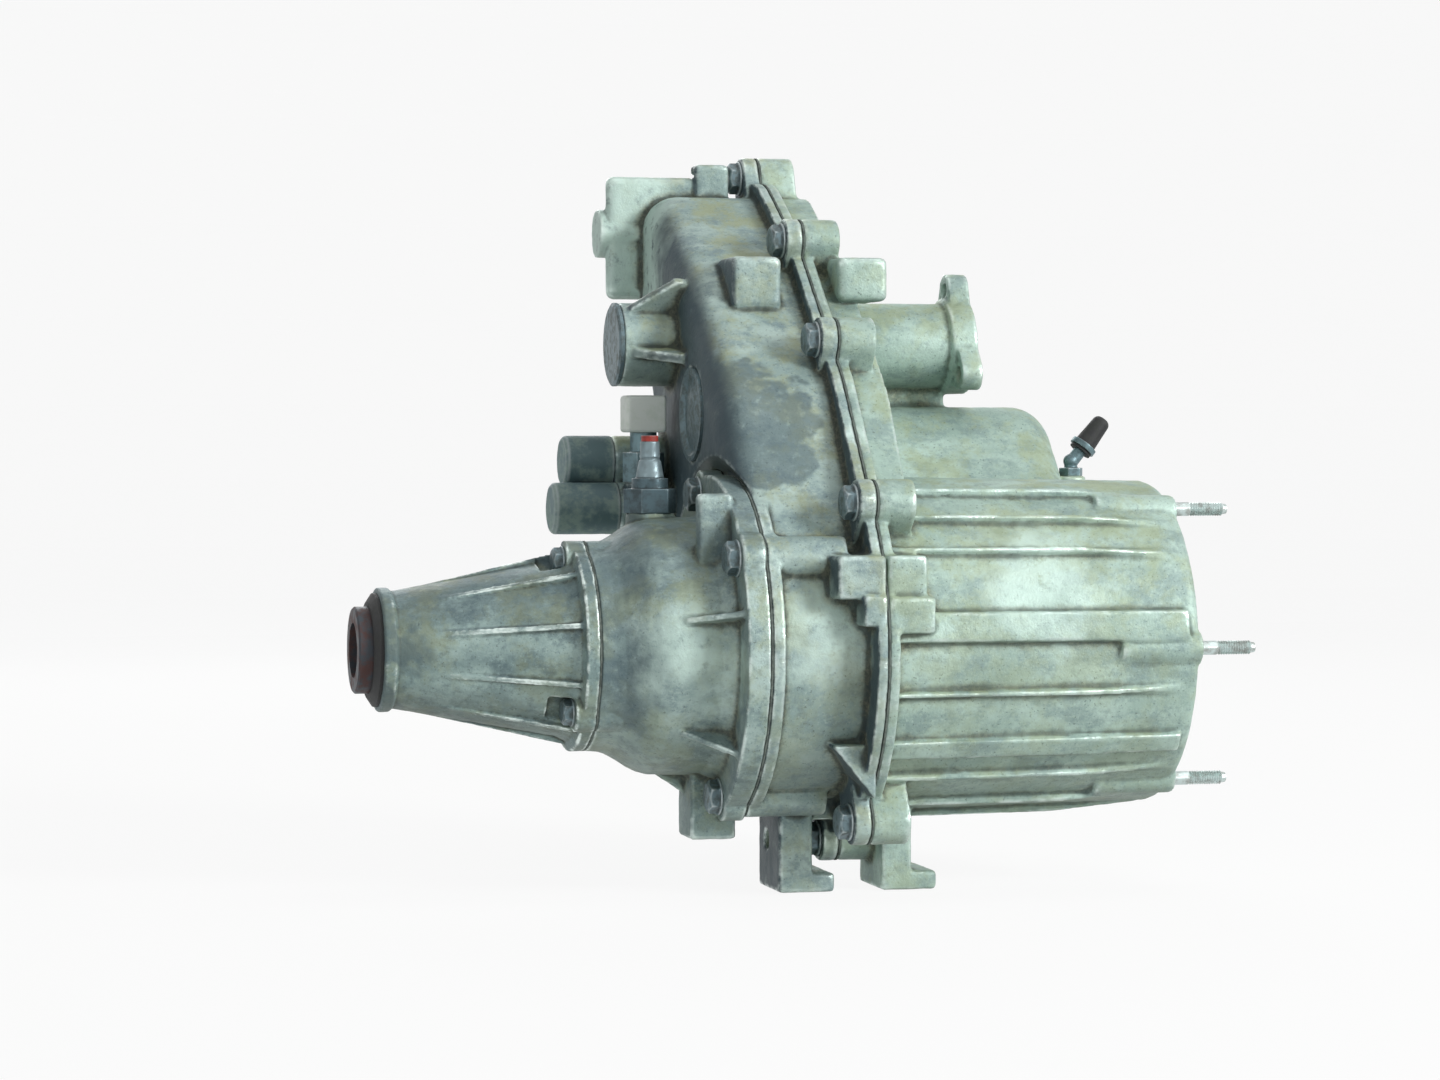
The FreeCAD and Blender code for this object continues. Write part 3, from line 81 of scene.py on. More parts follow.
# %% Colour and node helpers
def paint(hex_code):
    """A linear RGBA colour from sRGB hex."""
    parts = [int(hex_code[i:i + 2], 16) / 255 for i in (1, 3, 5)]
    return [c / 12.92 if c <= 0.04045 else ((c + 0.055) / 1.055) ** 2.4 for c in parts] + [1.0]


def add(tree, kind, sockets=None, **settings):
    """A new node with its settings, and each socket set to a value or linked."""
    made = tree.nodes.new("ShaderNode" + kind)
    for key, value in settings.items():
        setattr(made, key, value)
    for key, value in (sockets or {}).items():
        if isinstance(value, bpy.types.NodeSocket):
            tree.links.new(value, made.inputs[key])
        else:
            made.inputs[key].default_value = value
    return made


def empty_material(name):
    """A material with no nodes in it, and its node tree."""
    material = bpy.data.materials.new(name)
    material.use_nodes = True
    material.node_tree.nodes.clear()
    return material, material.node_tree


print("the drum's palest oxide in linear light", [round(c, 3) for c in paint("#b5cdc2")])

# %% [markdown]
# A sand casting has no sharp corners: every edge that left the mould is round, and every inner
# corner has a fillet. Bevelling a CAD mesh of thousands of long thin triangles tears it, so a copy
# of each casting is cut into small cubes (a voxel remesh), softened, given the faint waves of a
# cast skin, and thinned again. The CAD node itself is never touched. First come the helpers that
# copy a node, add a modifier, apply what has been added and count triangles.

# %% Copies and modifiers
WELD = 0.002 * MM


def merged_copy(node, name):
    """A new object with a CAD node's mesh, its loose triangles joined."""
    work = bmesh.new()
    work.from_mesh(nodes[node].data)
    bmesh.ops.remove_doubles(work, verts=work.verts, dist=WELD)
    mesh = bpy.data.meshes.new(name)
    work.to_mesh(mesh)
    work.free()
    old_normals = mesh.attributes.get("custom_normal")
    if old_normals:
        mesh.attributes.remove(old_normals)
    piece = bpy.data.objects.new(name, mesh)
    scene.collection.objects.link(piece)
    return piece


def modifier(piece, kind, **settings):
    """A modifier with its settings."""
    made = piece.modifiers.new(kind.lower(), kind)
    for key, value in settings.items():
        setattr(made, key, value)
    return made


def apply_modifiers(piece):
    """The piece keeps the shape that its modifiers make, and loses the modifiers."""
    graph = bpy.context.evaluated_depsgraph_get()
    shaped = bpy.data.meshes.new_from_object(piece.evaluated_get(graph))
    piece.modifiers.clear()
    piece.data = shaped


def triangles(piece):
    """How many triangles the piece has."""
    return sum(len(face.vertices) - 2 for face in piece.data.polygons)


# %% [markdown]
# The pattern maker rounds each inner corner with a fillet of wax. A Smooth modifier can't do that,
# because it melts ribs and bolt holes long before a corner is full. So only the points that lie
# too deep are moved, each toward the mean of its neighbours, and they stop when the corner's
# curve has the fillet's radius: in a grid of cubes of size h, a curve of radius R leaves a point
# h * h / (4 * R) below its neighbours' mean.

# %% Fillets in the inner corners
FILLET_ROUNDS = 26


def mesh_arrays(mesh):
    """Places, normals, edge ends and neighbour counts of a mesh, as arrays."""
    count = len(mesh.vertices)
    place, normal = np.empty(count * 3), np.empty(count * 3)
    mesh.vertices.foreach_get("co", place)
    mesh.vertices.foreach_get("normal", normal)
    ends = np.empty(len(mesh.edges) * 2, np.int32)
    mesh.edges.foreach_get("vertices", ends)
    ends = ends.reshape(-1, 2).T
    share = np.maximum(np.bincount(ends.ravel(), minlength=count), 1)
    return place.reshape(-1, 3), normal.reshape(-1, 3), ends, share


def relaxed(place, ends, share):
    """Each point moved to the mean of its neighbours."""
    count, (a, b) = len(place), ends
    total = [np.bincount(a, place[b, k], count) + np.bincount(b, place[a, k], count) for k in range(3)]
    return np.stack(total, 1) / share[:, None]


def fill_corners(mesh, cube, radius):
    """Fillets of that radius in the inner corners of a mesh of cubes, both in mm."""
    place, normal, ends, share = mesh_arrays(mesh)
    limit = (cube * MM) ** 2 / (4 * radius * MM)
    for _ in range(FILLET_ROUNDS):
        soft = relaxed(place, ends, share)
        deep = ((soft - place) * normal).sum(1)
        place += np.clip((deep - limit) / limit, 0, 1)[:, None] * (soft - place)
    mesh.vertices.foreach_set("co", place.ravel())
    mesh.update()


# %% [markdown]
# Wear, dirt and painted shade follow the shape. Edges that stand proud are rubbed bright, corners
# collect grit, and creases and corners get painted shade. Blender's Pointiness would show these, but
# it depends on how fine the mesh is and knows no millimetres. So they are measured once: the mesh is
# relaxed, and the distance that each point moves along its normal, in millimetres, is kept as an
# attribute. A few rounds find edges, and many find whole hollows.

# %% Relief as attributes
RELIEF_ROUNDS = {"edge": 8, "hollow": 50}


def mark_relief(mesh):
    """Two attributes, edge and hollow: how far each point stands out, in mm."""
    place, normal, ends, share = mesh_arrays(mesh)
    soft, done = place, 0
    for label, rounds in RELIEF_ROUNDS.items():
        for _ in range(rounds - done):
            soft = relaxed(soft, ends, share)
        done = rounds
        stands = ((place - soft) * normal).sum(1) / MM
        mesh.attributes.new(label, "FLOAT", "POINT").data.foreach_set("value", stands.astype(np.float32))


print("relaxing rounds for the relief", RELIEF_ROUNDS)

# %% [markdown]
# Now the steps come together. The waves are a cloud texture that moves the skin by a fraction of a
# millimetre, as sand grains and wear do. The relief is marked after the waves and before the
# mesh is thinned, and the thinning carries the attributes along.

# %% Round a skin
WAVE_LENGTH = 7 * MM
skin_waves = bpy.data.textures.new("cast_skin_waves", "CLOUDS")
skin_waves.noise_scale = WAVE_LENGTH
skin_waves.noise_depth = 2
body_of = {node: body for body, members in record["behaviour"]["bodies"].items() for node in members}


def round_skin(node, name, slot, cube, keep, waves, soften, fillet=0):
    """A copy of a node with round edges, a wavy skin and about `keep` triangles, sizes in mm."""
    piece = merged_copy(node, name)
    modifier(piece, "REMESH", mode="VOXEL", voxel_size=cube * MM, use_smooth_shade=True)
    modifier(piece, "SMOOTH", factor=0.5, iterations=soften)
    if fillet:
        apply_modifiers(piece)
        fill_corners(piece.data, cube, fillet)
    modifier(piece, "DISPLACE", texture=skin_waves, texture_coords="LOCAL", strength=waves * MM,
             mid_level=0.5)
    apply_modifiers(piece)
    mark_relief(piece.data)
    found = triangles(piece)
    if found > keep:
        modifier(piece, "DECIMATE", ratio=keep / found)
        apply_modifiers(piece)
    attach(piece, body_of[node])
    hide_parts(node)
    print(name, found, "->", triangles(piece), "triangles")
    return piece


# %% [markdown]
# The rear and the middle casting are the two halves of the gear chamber, the bell is the round
# cover on the middle casting, and the tail is the ribbed taper round the rear output. The tail's
# ribs are only a few millimetres thick, so it has the smallest cubes, the least softening and the
# smallest fillets. With the big castings' fillets its ribs would drown.

# %% Make the four castings
FILLET, TAIL_FILLET = 4.2, 1.6
CAST_WAVES = 0.5
castings = {
    node: round_skin(node, name, "cast_alloy", cube, keep, CAST_WAVES, soften, fillet)
    for node, name, cube, keep, soften, fillet in (
        ("rear_case", "rear_casting", 1.25, 190000, 3, FILLET),
        ("front_case", "front_casting", 1.2, 190000, 3, FILLET),
        ("bell_cover", "bell_casting", 1.0, 150000, 3, FILLET),
        ("tail_housing", "tail_casting", 0.75, 150000, 2, TAIL_FILLET))
}

# %% [markdown]
# The bolts, plugs and fittings are forged or turned steel. Their edges are crisper than those of a
# casting but still broken by years of spanners, so they go through the same steps with much
# smaller cubes, almost no waves and no fillets. Each row gives the node, the new piece, its
# slot, the cube in mm, the triangles to keep, the waves in mm and the rounds of softening.

# %% Make the small pieces
small_pieces = {
    row[0]: round_skin(*row) for row in (
        ("case_bolts", "case_screws", "bolt_steel", 0.5, 60000, 0.1, 1),
        ("bell_bolts", "bell_screws", "bolt_steel", 0.5, 36000, 0.1, 1),
        ("tail_bolts", "tail_screws", "bolt_steel", 0.4, 24000, 0.1, 1),
        ("speed_sensor", "sensor_body", "plated_steel", 0.4, 24000, 0.1, 1),
        ("indicator_switch", "switch_body", "plated_steel", 0.4, 24000, 0.1, 1),
        ("fill_plug", "fill_screw", "plated_steel", 0.5, 12000, 0.1, 1),
        ("drain_plug", "drain_screw", "plated_steel", 0.5, 12000, 0.1, 1),
        ("breather_fitting", "breather_elbow", "plated_steel", 0.35, 12000, 0.1, 1),
        ("breather_cap", "breather_boot", "black_rubber", 0.4, 12000, 0.2, 2),
        ("breather_clip", "breather_band", "plated_steel", 0.3, 12000, 0.05, 1),
        ("rail_caps", "rail_ends", "black_steel", 0.7, 40000, 0.3, 2),
        ("switch_connector", "switch_plug", "pale_plastic", 0.45, 16000, 0.1, 1),
        ("sensor_ring", "sensor_cap", "red_plastic", 0.3, 8000, 0.05, 1))
}

# %% [markdown]
# The sensor's neck is slimmer at its top than at its collar. Its solid is straight, so the copy's
# points are drawn in toward the sensor's own upright line, more and more with height, until two
# thirds of the way up. The red ring at the top is drawn in by the same amount.

# %% Taper the sensor
NECK_FOOT = 97
NECK_SHARE = 0.7
TAPER_SPEED = 1.5
neck_low, neck_high = NECK_FOOT * MM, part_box("speed_sensor")[1].z
line = sum(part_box("speed_sensor"), Vector()) / 2
for name in ("speed_sensor", "sensor_ring"):
    for point in small_pieces[name].data.vertices:
        along = min(max((point.co.z - neck_low) / (neck_high - neck_low) * TAPER_SPEED, 0), 1)
        shrink = 1 - (1 - NECK_SHARE) * along
        point.co.x = line.x + (point.co.x - line.x) * shrink
        point.co.y = line.y + (point.co.y - line.y) * shrink
print("neck drawn in above", NECK_FOOT, "mm, to", NECK_SHARE, "of its width")

# %% [markdown]
# A finish is built as the real one grew: a base colour, then coat over coat. Each coat is a colour
# and the masks that say where it lies. Nested Mix nodes could be written by hand, one per coat,
# but a list that reads from the metal outward is easier to follow and to change, and one loop
# turns it into nodes. A mask is a socket or a plain number from 0 to 1, and a coat lies where all
# of its masks agree, so they are multiplied.

# %% Coats and clouds
def painted(tree, colour, coats):
    """A base colour with its coats laid over it in turn."""
    for coat, where, *more in coats:
        for mask in more:
            where = add(tree, "Math", {0: where, 1: mask}, operation="MULTIPLY").outputs[0]
        colour = add(tree, "Mix", {0: where, 6: colour, 7: coat}, data_type="RGBA").outputs[2]
    return colour


def clouds(tree, place, size_mm, detail, rough, low, high, shift=0.0, stretch=1.0):
    """A mask of cloudy noise of that size, stretched along the shafts and cut to low..high."""
    moved = add(tree, "Mapping", {"Vector": place, "Location": (shift, shift, shift),
                                  "Scale": (1 / stretch, 1, 1)})
    noise = add(tree, "TexNoise", {"Vector": moved.outputs[0], "Scale": 1 / (size_mm * MM),
                                   "Detail": detail, "Roughness": rough})
    return add(tree, "MapRange", {0: noise.outputs["Fac"], 1: low, 2: high},
               interpolation_type="SMOOTHSTEP").outputs[0]


# %% [markdown]
# Oil film and pale, washed spots lie where a seal leaked or a rag passed, and on the bell the dark
# patches are also painted shade, so they are listed one by one, as balls with a centre and a radius
# in millimetres. A ball alone would draw a clean circle.
# The place is shaken by a soft noise before the distance is taken, and the rim wanders.

# %% Patches with a wandering rim
WANDER_SIZE, WANDER_REACH = 24 * MM, 55 * MM


def shaken(tree, place):
    """The place, moved about by a soft noise."""
    noise = add(tree, "TexNoise", {"Vector": place, "Scale": 1 / WANDER_SIZE, "Detail": 2.5,
                                   "Roughness": 0.5})
    drift = add(tree, "VectorMath", {0: noise.outputs["Color"], 1: (-0.5, -0.5, -0.5)})
    drift = add(tree, "VectorMath", {0: drift.outputs[0], "Scale": WANDER_REACH}, operation="SCALE")
    return add(tree, "VectorMath", {0: place, 1: drift.outputs[0]}).outputs[0]


def patches(tree, spot, balls, soft):
    """One mask for all the balls, with a rim that is soft over that many mm."""
    mask = 0.0
    for centre, radius in balls:
        away = add(tree, "VectorMath", {0: spot, 1: Vector(centre) * MM}, operation="DISTANCE")
        inside = add(tree, "MapRange", {0: away.outputs["Value"], 1: radius * MM,
                                        2: (radius - soft) * MM}).outputs[0]
        mask = add(tree, "Math", {0: mask, 1: inside}, operation="MAXIMUM").outputs[0]
    return mask


# %% [markdown]
# Old cast aluminium is not shiny. Its skin has turned to a chalky grey oxide, which comes in
# clouds of 38 mm with darker damp blotches of 19 mm and mottling of 4.5 mm. Grains and pits of
# 1.5 to 1.8 mm lie over all, and dry dust lies in tan clouds of 30 mm, most of it on upward faces.

# %% Oxide and dust
def oxide_coats(tree, surface, broad, pale, dark, soil, dirt):
    """The coats of the dry skin, over its middle tone."""
    place = surface["place"]
    upward = add(tree, "MapRange", {0: surface["up"], 1: -0.3, 2: 1.0, 3: 0.45, 4: 1.0}).outputs[0]
    # each cloud: size in mm, detail, roughness, low and high cut, shift, stretch
    return [
        (paint(pale), broad),
        (paint(dark), clouds(tree, place, 19, 6, 0.7, 0.47, 0.63, 0.31, 1.5), 0.6),
        (paint(dark), clouds(tree, place, 4.5, 4, 0.65, 0.5, 0.68, 0.57), 0.4),
        (paint(pale), clouds(tree, place, 1.8, 3, 0.6, 0.56, 0.72, 0.73), 0.45),
        (paint("#2c3432"), clouds(tree, place, 1.5, 2, 0.5, 0.62, 0.74, 5.1), 0.5),
        (paint(soil), clouds(tree, place, 30, 7, 0.72, 0.44, 0.62, 2.9), upward, dirt),
    ]


# %% [markdown]
# Oil creeps along a casting and darkens it to blue grey, thin in patches. On the end faces, which
# look along the shafts, a thick dark coat is partly oil film and partly painted shade of the side
# turned from the key lamp, and the upward faces of some castings get painted shade. Washed spots
# are the opposite: chalk without dust.

# %% Oil film, painted shade and washed spots
THIN_FILM = 0.66
WASHED_RIM = 24


def film_and_shade_coats(tree, surface, film_and_shade_patch, face_film_and_shade, top_shade):
    """Oil patches, painted shade on top, and on the end faces a dark coat of oil and painted shade."""
    place = surface["place"]
    # painted shade: the more a face looks up, the more blue-grey shade it gets
    upward_shade = add(tree, "MapRange", {0: surface["up"], 1: 0.1, 2: 0.85, 4: top_shade},
                interpolation_type="SMOOTHSTEP").outputs[0]
    thin = add(tree, "Math", {0: film_and_shade_patch, 1: THIN_FILM}, operation="MULTIPLY").outputs[0]
    thin = add(tree, "Math", {0: thin, 1: upward_shade}, operation="MAXIMUM").outputs[0]
    # the end faces' dark coat: partly oil film, partly painted shade of the side away from the key lamp
    end_face_film_and_shade = add(tree, "MapRange", {0: surface["along"], 1: -0.25, 2: -0.8, 4: face_film_and_shade},
                   interpolation_type="SMOOTHSTEP").outputs[0]
    # the blue-grey coat is oil film in the patches and painted shade on top; the darker one is oil film and
    # painted shade on the end faces
    return [(paint("#4c6067"), thin, clouds(tree, place, 6, 5, 0.6, 0.1, 0.5, 6.3)),
            (paint("#30424a"), end_face_film_and_shade, clouds(tree, place, 12, 5, 0.65, -0.1, 0.45, 6.3))]


def washed_coat(tree, place, spot, washed):
    """Chalk, almost white, in the washed spots."""
    chalk = clouds(tree, place, 7, 6, 0.7, 0.25, 0.5, 8.8)
    return [(paint("#cbe3d9"), patches(tree, spot, washed, WASHED_RIM), chalk, 0.75)]


# %% [markdown]
# Painted shade darkens the faces that look down, and grit fills the hollows. Dark painted shade with
# some grime sits in the sharp creases and, broken by clouds, in the corners. The hollow attribute
# tells whole corners, and the edge attribute, where it is negative, tells creases. The mask of that
# shade and grime is handed back as well, because it is also made rougher than bare skin.

# %% Painted shade, grit and grime
def dirt_and_shade_coats(tree, surface, shade_and_grime_level):
    """The coats of painted shade and grit, and the mask of the dark shade and dirt in creases and corners.
    """
    place = surface["place"]
    # painted shade: the more a face looks down, the darker it is
    under_shade = add(tree, "MapRange", {0: surface["up"], 1: -0.4, 2: -1.0, 4: 0.5}).outputs[0]
    corner = add(tree, "MapRange", {0: surface["hollow"], 1: -0.4, 2: -2.2}).outputs[0]
    grains = clouds(tree, place, 2.2, 4, 0.7, 0.42, 0.6, 3.1)
    crumbs = painted(tree, paint("#6d6c58"), [(paint("#b9b795"), grains)])
    # painted shade in the sharp creases, where the edge relief is negative
    crease_shade = add(tree, "MapRange", {0: surface["edge"], 1: -0.1, 2: -0.5}).outputs[0]
    # painted shade with some grime in the corners, broken by clouds
    corner_shade_and_grime = add(tree, "Math", {0: corner, 1: clouds(tree, place, 9, 5, 0.65, 0.45, 0.6, 7.7)},
                operation="MULTIPLY")
    corner_shade_and_grime = add(tree, "Math", {0: corner_shade_and_grime.outputs[0], 1: 0.7}, operation="MULTIPLY")
    shade_and_grime = add(tree, "Math", {0: corner_shade_and_grime.outputs[0], 1: crease_shade}, operation="MAXIMUM").outputs[0]
    # below: painted shade; in the corners: tan grit; in creases and corners: dark painted shade with some
    # grime
    return [(paint("#55584c"), under_shade),
            (crumbs, corner, clouds(tree, place, 13, 5, 0.65, 0.36, 0.56, 1.7), 0.75),
            (paint("#2d3633"), shade_and_grime, shade_and_grime_level)], shade_and_grime


# %% [markdown]
# Where the gearbox and the front flange are bolted on, a cutter has left a flat face: bright, even
# metal with the cutter's faint arcs, drawn at 5 mm because the real ones are too fine to show.
# Such a face is found by its direction and by its station along the shafts.

# %% Milled faces
STATION_REACH = 0.9 * MM


def milled_mask(tree, surface, stations):
    """A mask of the flat faces across the shafts at those stations, in mm."""
    across = add(tree, "Math", {0: surface["along"]}, operation="ABSOLUTE").outputs[0]
    flat = add(tree, "MapRange", {0: across, 1: 0.86, 2: 0.97}).outputs[0]
    x = add(tree, "SeparateXYZ", {0: surface["place"]}).outputs[0]
    near = 0.0
    for station in stations:
        here = add(tree, "Math", {0: x, 1: station * MM, 2: STATION_REACH}, operation="COMPARE").outputs[0]
        near = add(tree, "Math", {0: near, 1: here}, operation="MAXIMUM").outputs[0]
    return add(tree, "Math", {0: flat, 1: near}, operation="MULTIPLY").outputs[0]


def milled_colour(tree, place):
    """Two greys in rings round the shafts' line."""
    arcs = add(tree, "TexWave", {"Vector": place, "Scale": 1 / (5 * MM), "Distortion": 3.0, "Detail": 3},
               wave_type="RINGS", rings_direction="X").outputs["Fac"]
    return painted(tree, paint("#b2bdbb"), [(paint("#bdc7c5"), arcs)])


# %% [markdown]
# Boots, straps and spanners rub an edge bright, but with gaps, and not where oil protects it, nor in
# the painted shade patches. So the mask of rubbed metal takes the edges that stand proud, a cloud,
# and all that lies outside the patches.

# %% Rubbed edges
def rubbed_mask(tree, surface, film_and_shade_patch, rub_from):
    """A mask of edges outside the oil and shade patches that stand out by rub_from or more, in mm."""
    proud = add(tree, "MapRange", {0: surface["edge"], 1: rub_from, 2: rub_from * 2.6}).outputs[0]
    gaps = clouds(tree, surface["place"], 12, 5, 0.7, 0.4, 0.62, 4.4, 2.0)
    # all that lies outside the oil film and painted shade patches
    dry = add(tree, "Math", {0: 1.0, 1: film_and_shade_patch}, operation="SUBTRACT").outputs[0]
    bright = add(tree, "Math", {0: proud, 1: gaps}, operation="MULTIPLY").outputs[0]
    return add(tree, "Math", {0: bright, 1: dry}, operation="MULTIPLY").outputs[0]


# %% [markdown]
# Two things are the same for every casting: what steers its coats, and its bumps. The grain of
# 1.3 mm and the crust of 6 mm stand out by only fractions of a millimetre, so they are bump and
# not mesh.

# %% Steering and bumps
def surface_of(tree):
    """What steers the coats: place, direction along the shafts and up, and relief in mm."""
    facing = add(tree, "SeparateXYZ", {0: add(tree, "NewGeometry").outputs["Normal"]})
    relief = {label: add(tree, "Attribute", attribute_name=label).outputs["Fac"] for label in RELIEF_ROUNDS}
    return {"place": add(tree, "TexCoord").outputs["Object"],
            "along": facing.outputs[0], "up": facing.outputs[2], **relief}


def cast_bumps(tree, place):
    """The normal of a skin with sand grain and a thin crust."""
    grain = add(tree, "TexNoise", {"Vector": place, "Scale": 1 / (1.3 * MM), "Detail": 3})
    crust = add(tree, "TexNoise", {"Vector": place, "Scale": 1 / (6 * MM), "Detail": 5, "Roughness": 0.7})
    fine = add(tree, "Bump", {"Height": grain.outputs["Fac"], "Strength": 0.6, "Distance": 0.3 * MM})
    return add(tree, "Bump", {"Height": crust.outputs["Fac"], "Strength": 0.6, "Distance": 0.8 * MM,
                              "Normal": fine.outputs[0]}).outputs[0]


# %% [markdown]
# The whole finish: sand-cast aluminium alloy, left as cast. To the eye it is a dull, mottled grey
# green with bright worn edges. Oxide and dirt are barely metallic and rough, and only rubbed and
# milled metal is metallic and smoother.

# %% Weathered casting finish
def weathered_alloy(name, tones, dirt, wear, shade_and_grime_level, rub_from, film_and_shade_balls=(), film_soft=4, face_film_and_shade=0.0,
                    top_shade=0.0, washed=(), milled=()):
    """Weathered cast aluminium. Its tones are pale, middle and dark oxide and dust."""
    material, tree = empty_material(name)
    surface = surface_of(tree)
    place = surface["place"]
    spot = shaken(tree, place)
    pale, middle, dark, soil = tones
    broad = clouds(tree, place, 38, 6, 0.66, 0.36, 0.66, stretch=1.6)
    coats = oxide_coats(tree, surface, broad, pale, dark, soil, dirt)
    film_and_shade_patch = patches(tree, spot, film_and_shade_balls, film_soft)
    if film_and_shade_balls:
        coats += film_and_shade_coats(tree, surface, film_and_shade_patch, face_film_and_shade, top_shade)
    if washed:
        coats += washed_coat(tree, place, spot, washed)
    soiled_and_shaded, shade_and_grime = dirt_and_shade_coats(tree, surface, shade_and_grime_level)
    bright = rubbed_mask(tree, surface, film_and_shade_patch, rub_from)
    coats += soiled_and_shaded + [(paint("#e2efea"), bright, wear)]
    # roughness: 0.6 to 0.5 on oxide, more in the painted shade and grime of creases, less on rubbed metal
    rough = add(tree, "MapRange", {0: broad, 3: 0.6, 4: 0.5}).outputs[0]
    rough = add(tree, "Math", {0: shade_and_grime, 1: 0.25, 2: rough}, operation="MULTIPLY_ADD").outputs[0]
    rough = add(tree, "Math", {0: bright, 1: -0.22, 2: rough}, operation="MULTIPLY_ADD").outputs[0]
    metal = add(tree, "MapRange", {0: bright, 3: 0.2, 4: 0.8}).outputs[0]
    if milled:
        cut = milled_mask(tree, surface, milled)
        coats.append((milled_colour(tree, place), cut, 0.7))
        rough = add(tree, "Math", {0: cut, 1: -0.2, 2: rough}, operation="MULTIPLY_ADD").outputs[0]
        shine = add(tree, "Math", {0: cut, 1: 0.6}, operation="MULTIPLY").outputs[0]
        metal = add(tree, "Math", {0: metal, 1: shine}, operation="MAXIMUM").outputs[0]
    skin = painted(tree, paint(middle), coats)
    shader = add(tree, "BsdfPrincipled", {"Base Color": skin, "Roughness": rough, "Metallic": metal,
                                          "Normal": cast_bumps(tree, place)})
    add(tree, "OutputMaterial", {0: shader.outputs[0]})
    return material


# %% [markdown]
# The four castings have lain in different dirt, so each has its own tones and patches. The drum is
# the palest. The middle casting has a dark coat over its flat end face, partly oil film and partly
# painted shade, and an oil film down the lower half of its side wall, while its bracket plate and
# the ribs of the front-shaft boss are washed almost white. The bell and the tail are darker, with
# painted shade on their end faces and upward faces, and the tail's ribs are the most worn. rub_from
# is the relief in mm at which an edge starts to show bright.

# %% Four looks of the same alloy
neck_face = next(row["pos_m"][0] for row in record["mounts"] if row["name"] == "front_flange_bolts")
casting_looks = {
    "rear_case": {
        "tones": ("#b5cdc2", "#9cb4aa", "#7b9190", "#9fa97c"),
        "dirt": 0.6, "wear": 0.5, "shade_and_grime_level": 0.6, "rub_from": 0.28,
        "washed": [((-95, -92, 40), 44)], "milled": [0, neck_face / MM]},
    "front_case": {
        "tones": ("#b6cbc4", "#93a9a5", "#6b8188", "#a0a67c"),
        "dirt": 0.7, "wear": 0.5, "shade_and_grime_level": 0.8, "rub_from": 0.25, "face_film_and_shade": 0.95,
        "film_and_shade_balls": [((-246, -2, 156), 24), ((-240, -14, 136), 30), ((-236, -26, 112), 26)],
        "washed": [((-290, 196, 240), 70), ((-296, 110, 164), 36), ((-284, 128, 200), 26),
                   ((-220, -88, 8), 34)]},
    "bell_cover": {
        "tones": ("#b5cbc5", "#8fa5a1", "#5f757b", "#98a074"),
        "dirt": 0.75, "wear": 0.5, "shade_and_grime_level": 0.8, "rub_from": 0.2,
        "face_film_and_shade": 0.45, "top_shade": 0.55, "film_soft": 18,
        # on the bell these dark patches, on its left end and its lug, are painted shade as well as oil film
        "film_and_shade_balls": [((-326, -10, 66), 42), ((-274, -55, 62), 26), ((-330, -46, 34), 36),
                 ((-330, -52, -14), 32)],
        "washed": [((-288, -72, -4), 34)]},
    "tail_housing": {
        "tones": ("#a5bcb7", "#768c8b", "#485d65", "#8d9470"),
        "dirt": 0.8, "wear": 0.9, "shade_and_grime_level": 0.85, "rub_from": 0.12,
        "face_film_and_shade": 0.3, "top_shade": 0.6, "film_soft": 5,
        "film_and_shade_balls": [((-463, 0, 0), 41), ((-350, 10, 66), 34)]},
}
for node, look in casting_looks.items():
    alloy = weathered_alloy("weathered_alloy_" + node, **look)
    castings[node].data.materials.append(alloy)
    print(alloy.name, len(alloy.node_tree.nodes), "shader nodes")

# %% [markdown]
# Everything else is a turned, milled or moulded piece. Steel, bronze, nylon and rubber could each
# have a recipe of their own, but they share one: a base that tarnishes in patches and bright edges
# where it is rubbed, as all of them age, and painted shade in the creases. The numbers tell them
# apart: metallic and roughness for the stuff, a patch size and a grain size in mm for how it was
# made.

